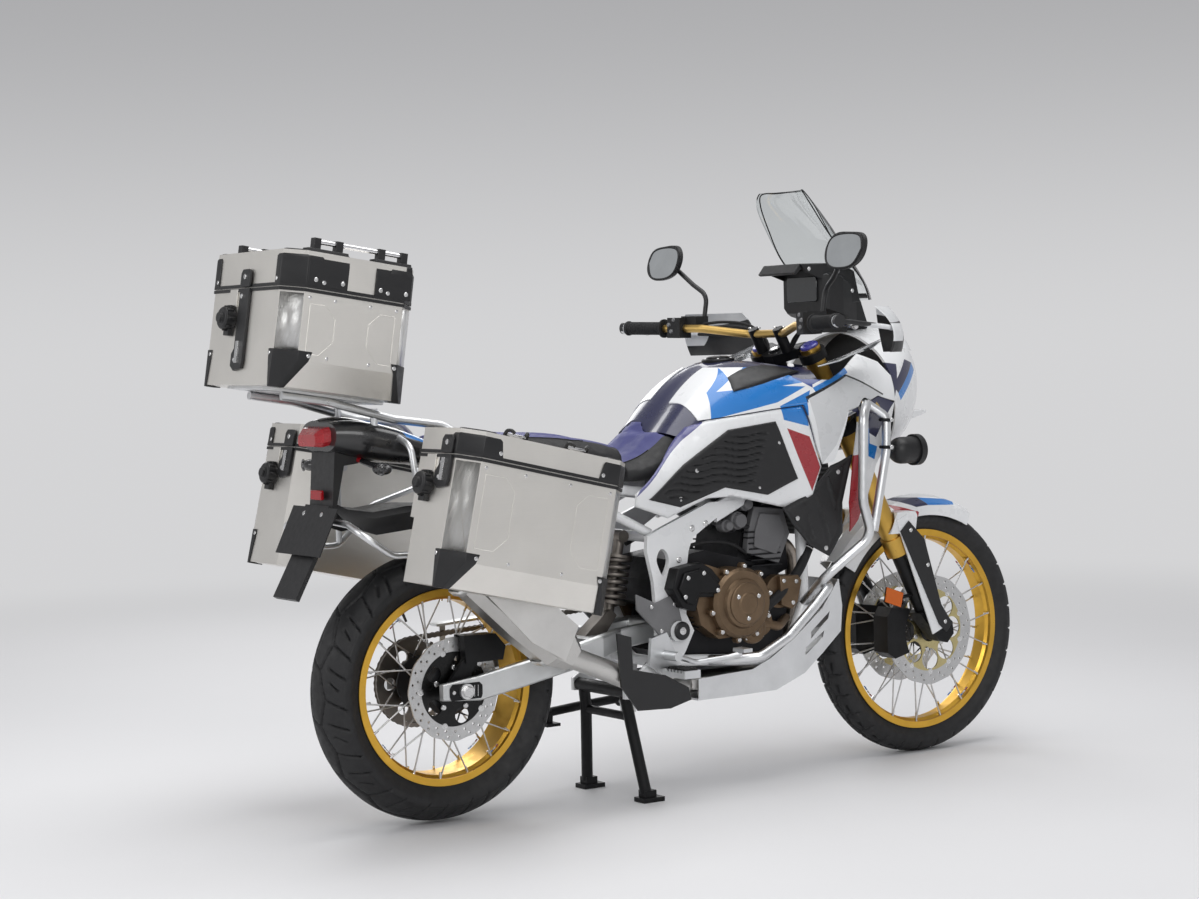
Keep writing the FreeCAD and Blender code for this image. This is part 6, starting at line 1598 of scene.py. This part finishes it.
def make_world():
    """Even soft light, and a backdrop that darkens upward from a pale horizon."""
    world = bpy.data.worlds.new("studio")
    bpy.context.scene.world = world
    world.use_nodes = True
    tree = world.node_tree
    place = tree.nodes.new("ShaderNodeTexCoord")
    parts = tree.nodes.new("ShaderNodeSeparateXYZ")
    rise = tree.nodes.new("ShaderNodeMapRange")
    rise.interpolation_type = "SMOOTHSTEP"
    rise.inputs["From Min"].default_value, rise.inputs["From Max"].default_value = -0.01, 0.17
    backdrop = tree.nodes.new("ShaderNodeMix")
    backdrop.data_type = "RGBA"
    backdrop.inputs[6].default_value, backdrop.inputs[7].default_value = HORIZON, UPPER
    choice = tree.nodes.new("ShaderNodeMix")
    choice.data_type = "RGBA"
    choice.inputs[6].default_value = UPPER
    tree.links.new(place.outputs["Generated"], parts.inputs[0])
    tree.links.new(parts.outputs[2], rise.inputs["Value"])
    tree.links.new(rise.outputs[0], backdrop.inputs[0])
    tree.links.new(seen_rays(tree), choice.inputs[0])
    tree.links.new(backdrop.outputs[2], choice.inputs[7])
    tree.links.new(choice.outputs[2], tree.nodes["Background"].inputs[0])
    tree.nodes["Background"].inputs[1].default_value = 1.0


def make_floor():
    """A matt floor that runs out into the colour of the horizon, so that no edge shows."""
    mesh = bpy.data.meshes.new("floor")
    half = FLOOR_HALF
    corners = [(-half, -half, 0), (half, -half, 0), (half, half, 0), (-half, half, 0)]
    mesh.from_pydata(corners, [], [(0, 1, 2, 3)])
    floor = bpy.data.objects.new("floor", mesh)
    bpy.context.scene.collection.objects.link(floor)
    look = Look("floor", (0.74, 0.74, 0.75), 0.7)
    look.put("Specular IOR Level", 0.25)
    look.cloudy(0.01, 0.6).grain(40, 0.0001)
    tree = look.tree
    gone = look.add("ShaderNodeVectorMath", {0: look.place}, operation="LENGTH").outputs["Value"]
    far = look.add("ShaderNodeMapRange", {"Value": gone, "From Min": FADE_FROM, "From Max": FADE_TO},
                   interpolation_type="SMOOTHSTEP").outputs[0]
    mask = look.calculate("MULTIPLY", far, seen_rays(tree))
    glow = look.add("ShaderNodeEmission", {"Color": HORIZON, "Strength": 1.0})
    blend = tree.nodes.new("ShaderNodeMixShader")
    tree.links.new(mask, blend.inputs[0])
    tree.links.new(look.shader.outputs[0], blend.inputs[1])
    tree.links.new(glow.outputs[0], blend.inputs[2])
    tree.links.new(blend.outputs[0], tree.nodes["Material Output"].inputs[0])
    floor.data.materials.append(look.done())


def make_studio():
    bpy.context.scene.view_settings.view_transform = "Standard"
    make_world()
    make_floor()
    area_lamp("lamp over", (0.1, -0.4, 4.4), (0.0, 0.0, 0.6), (4.4, 3.0), 120)
    area_lamp("lamp right", (-2.2, -4.4, 2.8), (0.0, 0.0, 0.7), (3.0, 2.2), 70)
    area_lamp("lamp rear", (-4.4, 0.8, 2.4), (-0.3, 0.0, 0.8), (2.4, 2.0), 40)
    area_lamp("lamp left", (1.5, 4.6, 2.8), (0.0, 0.0, 0.7), (3.0, 2.2), 60)


make_wheels()
make_cases()
make_bodywork()
make_seats()
make_engine()
make_frame_dress()
make_rear()
make_bars()
make_mirrors()
make_cockpit()
make_front()
make_camera()
make_studio()
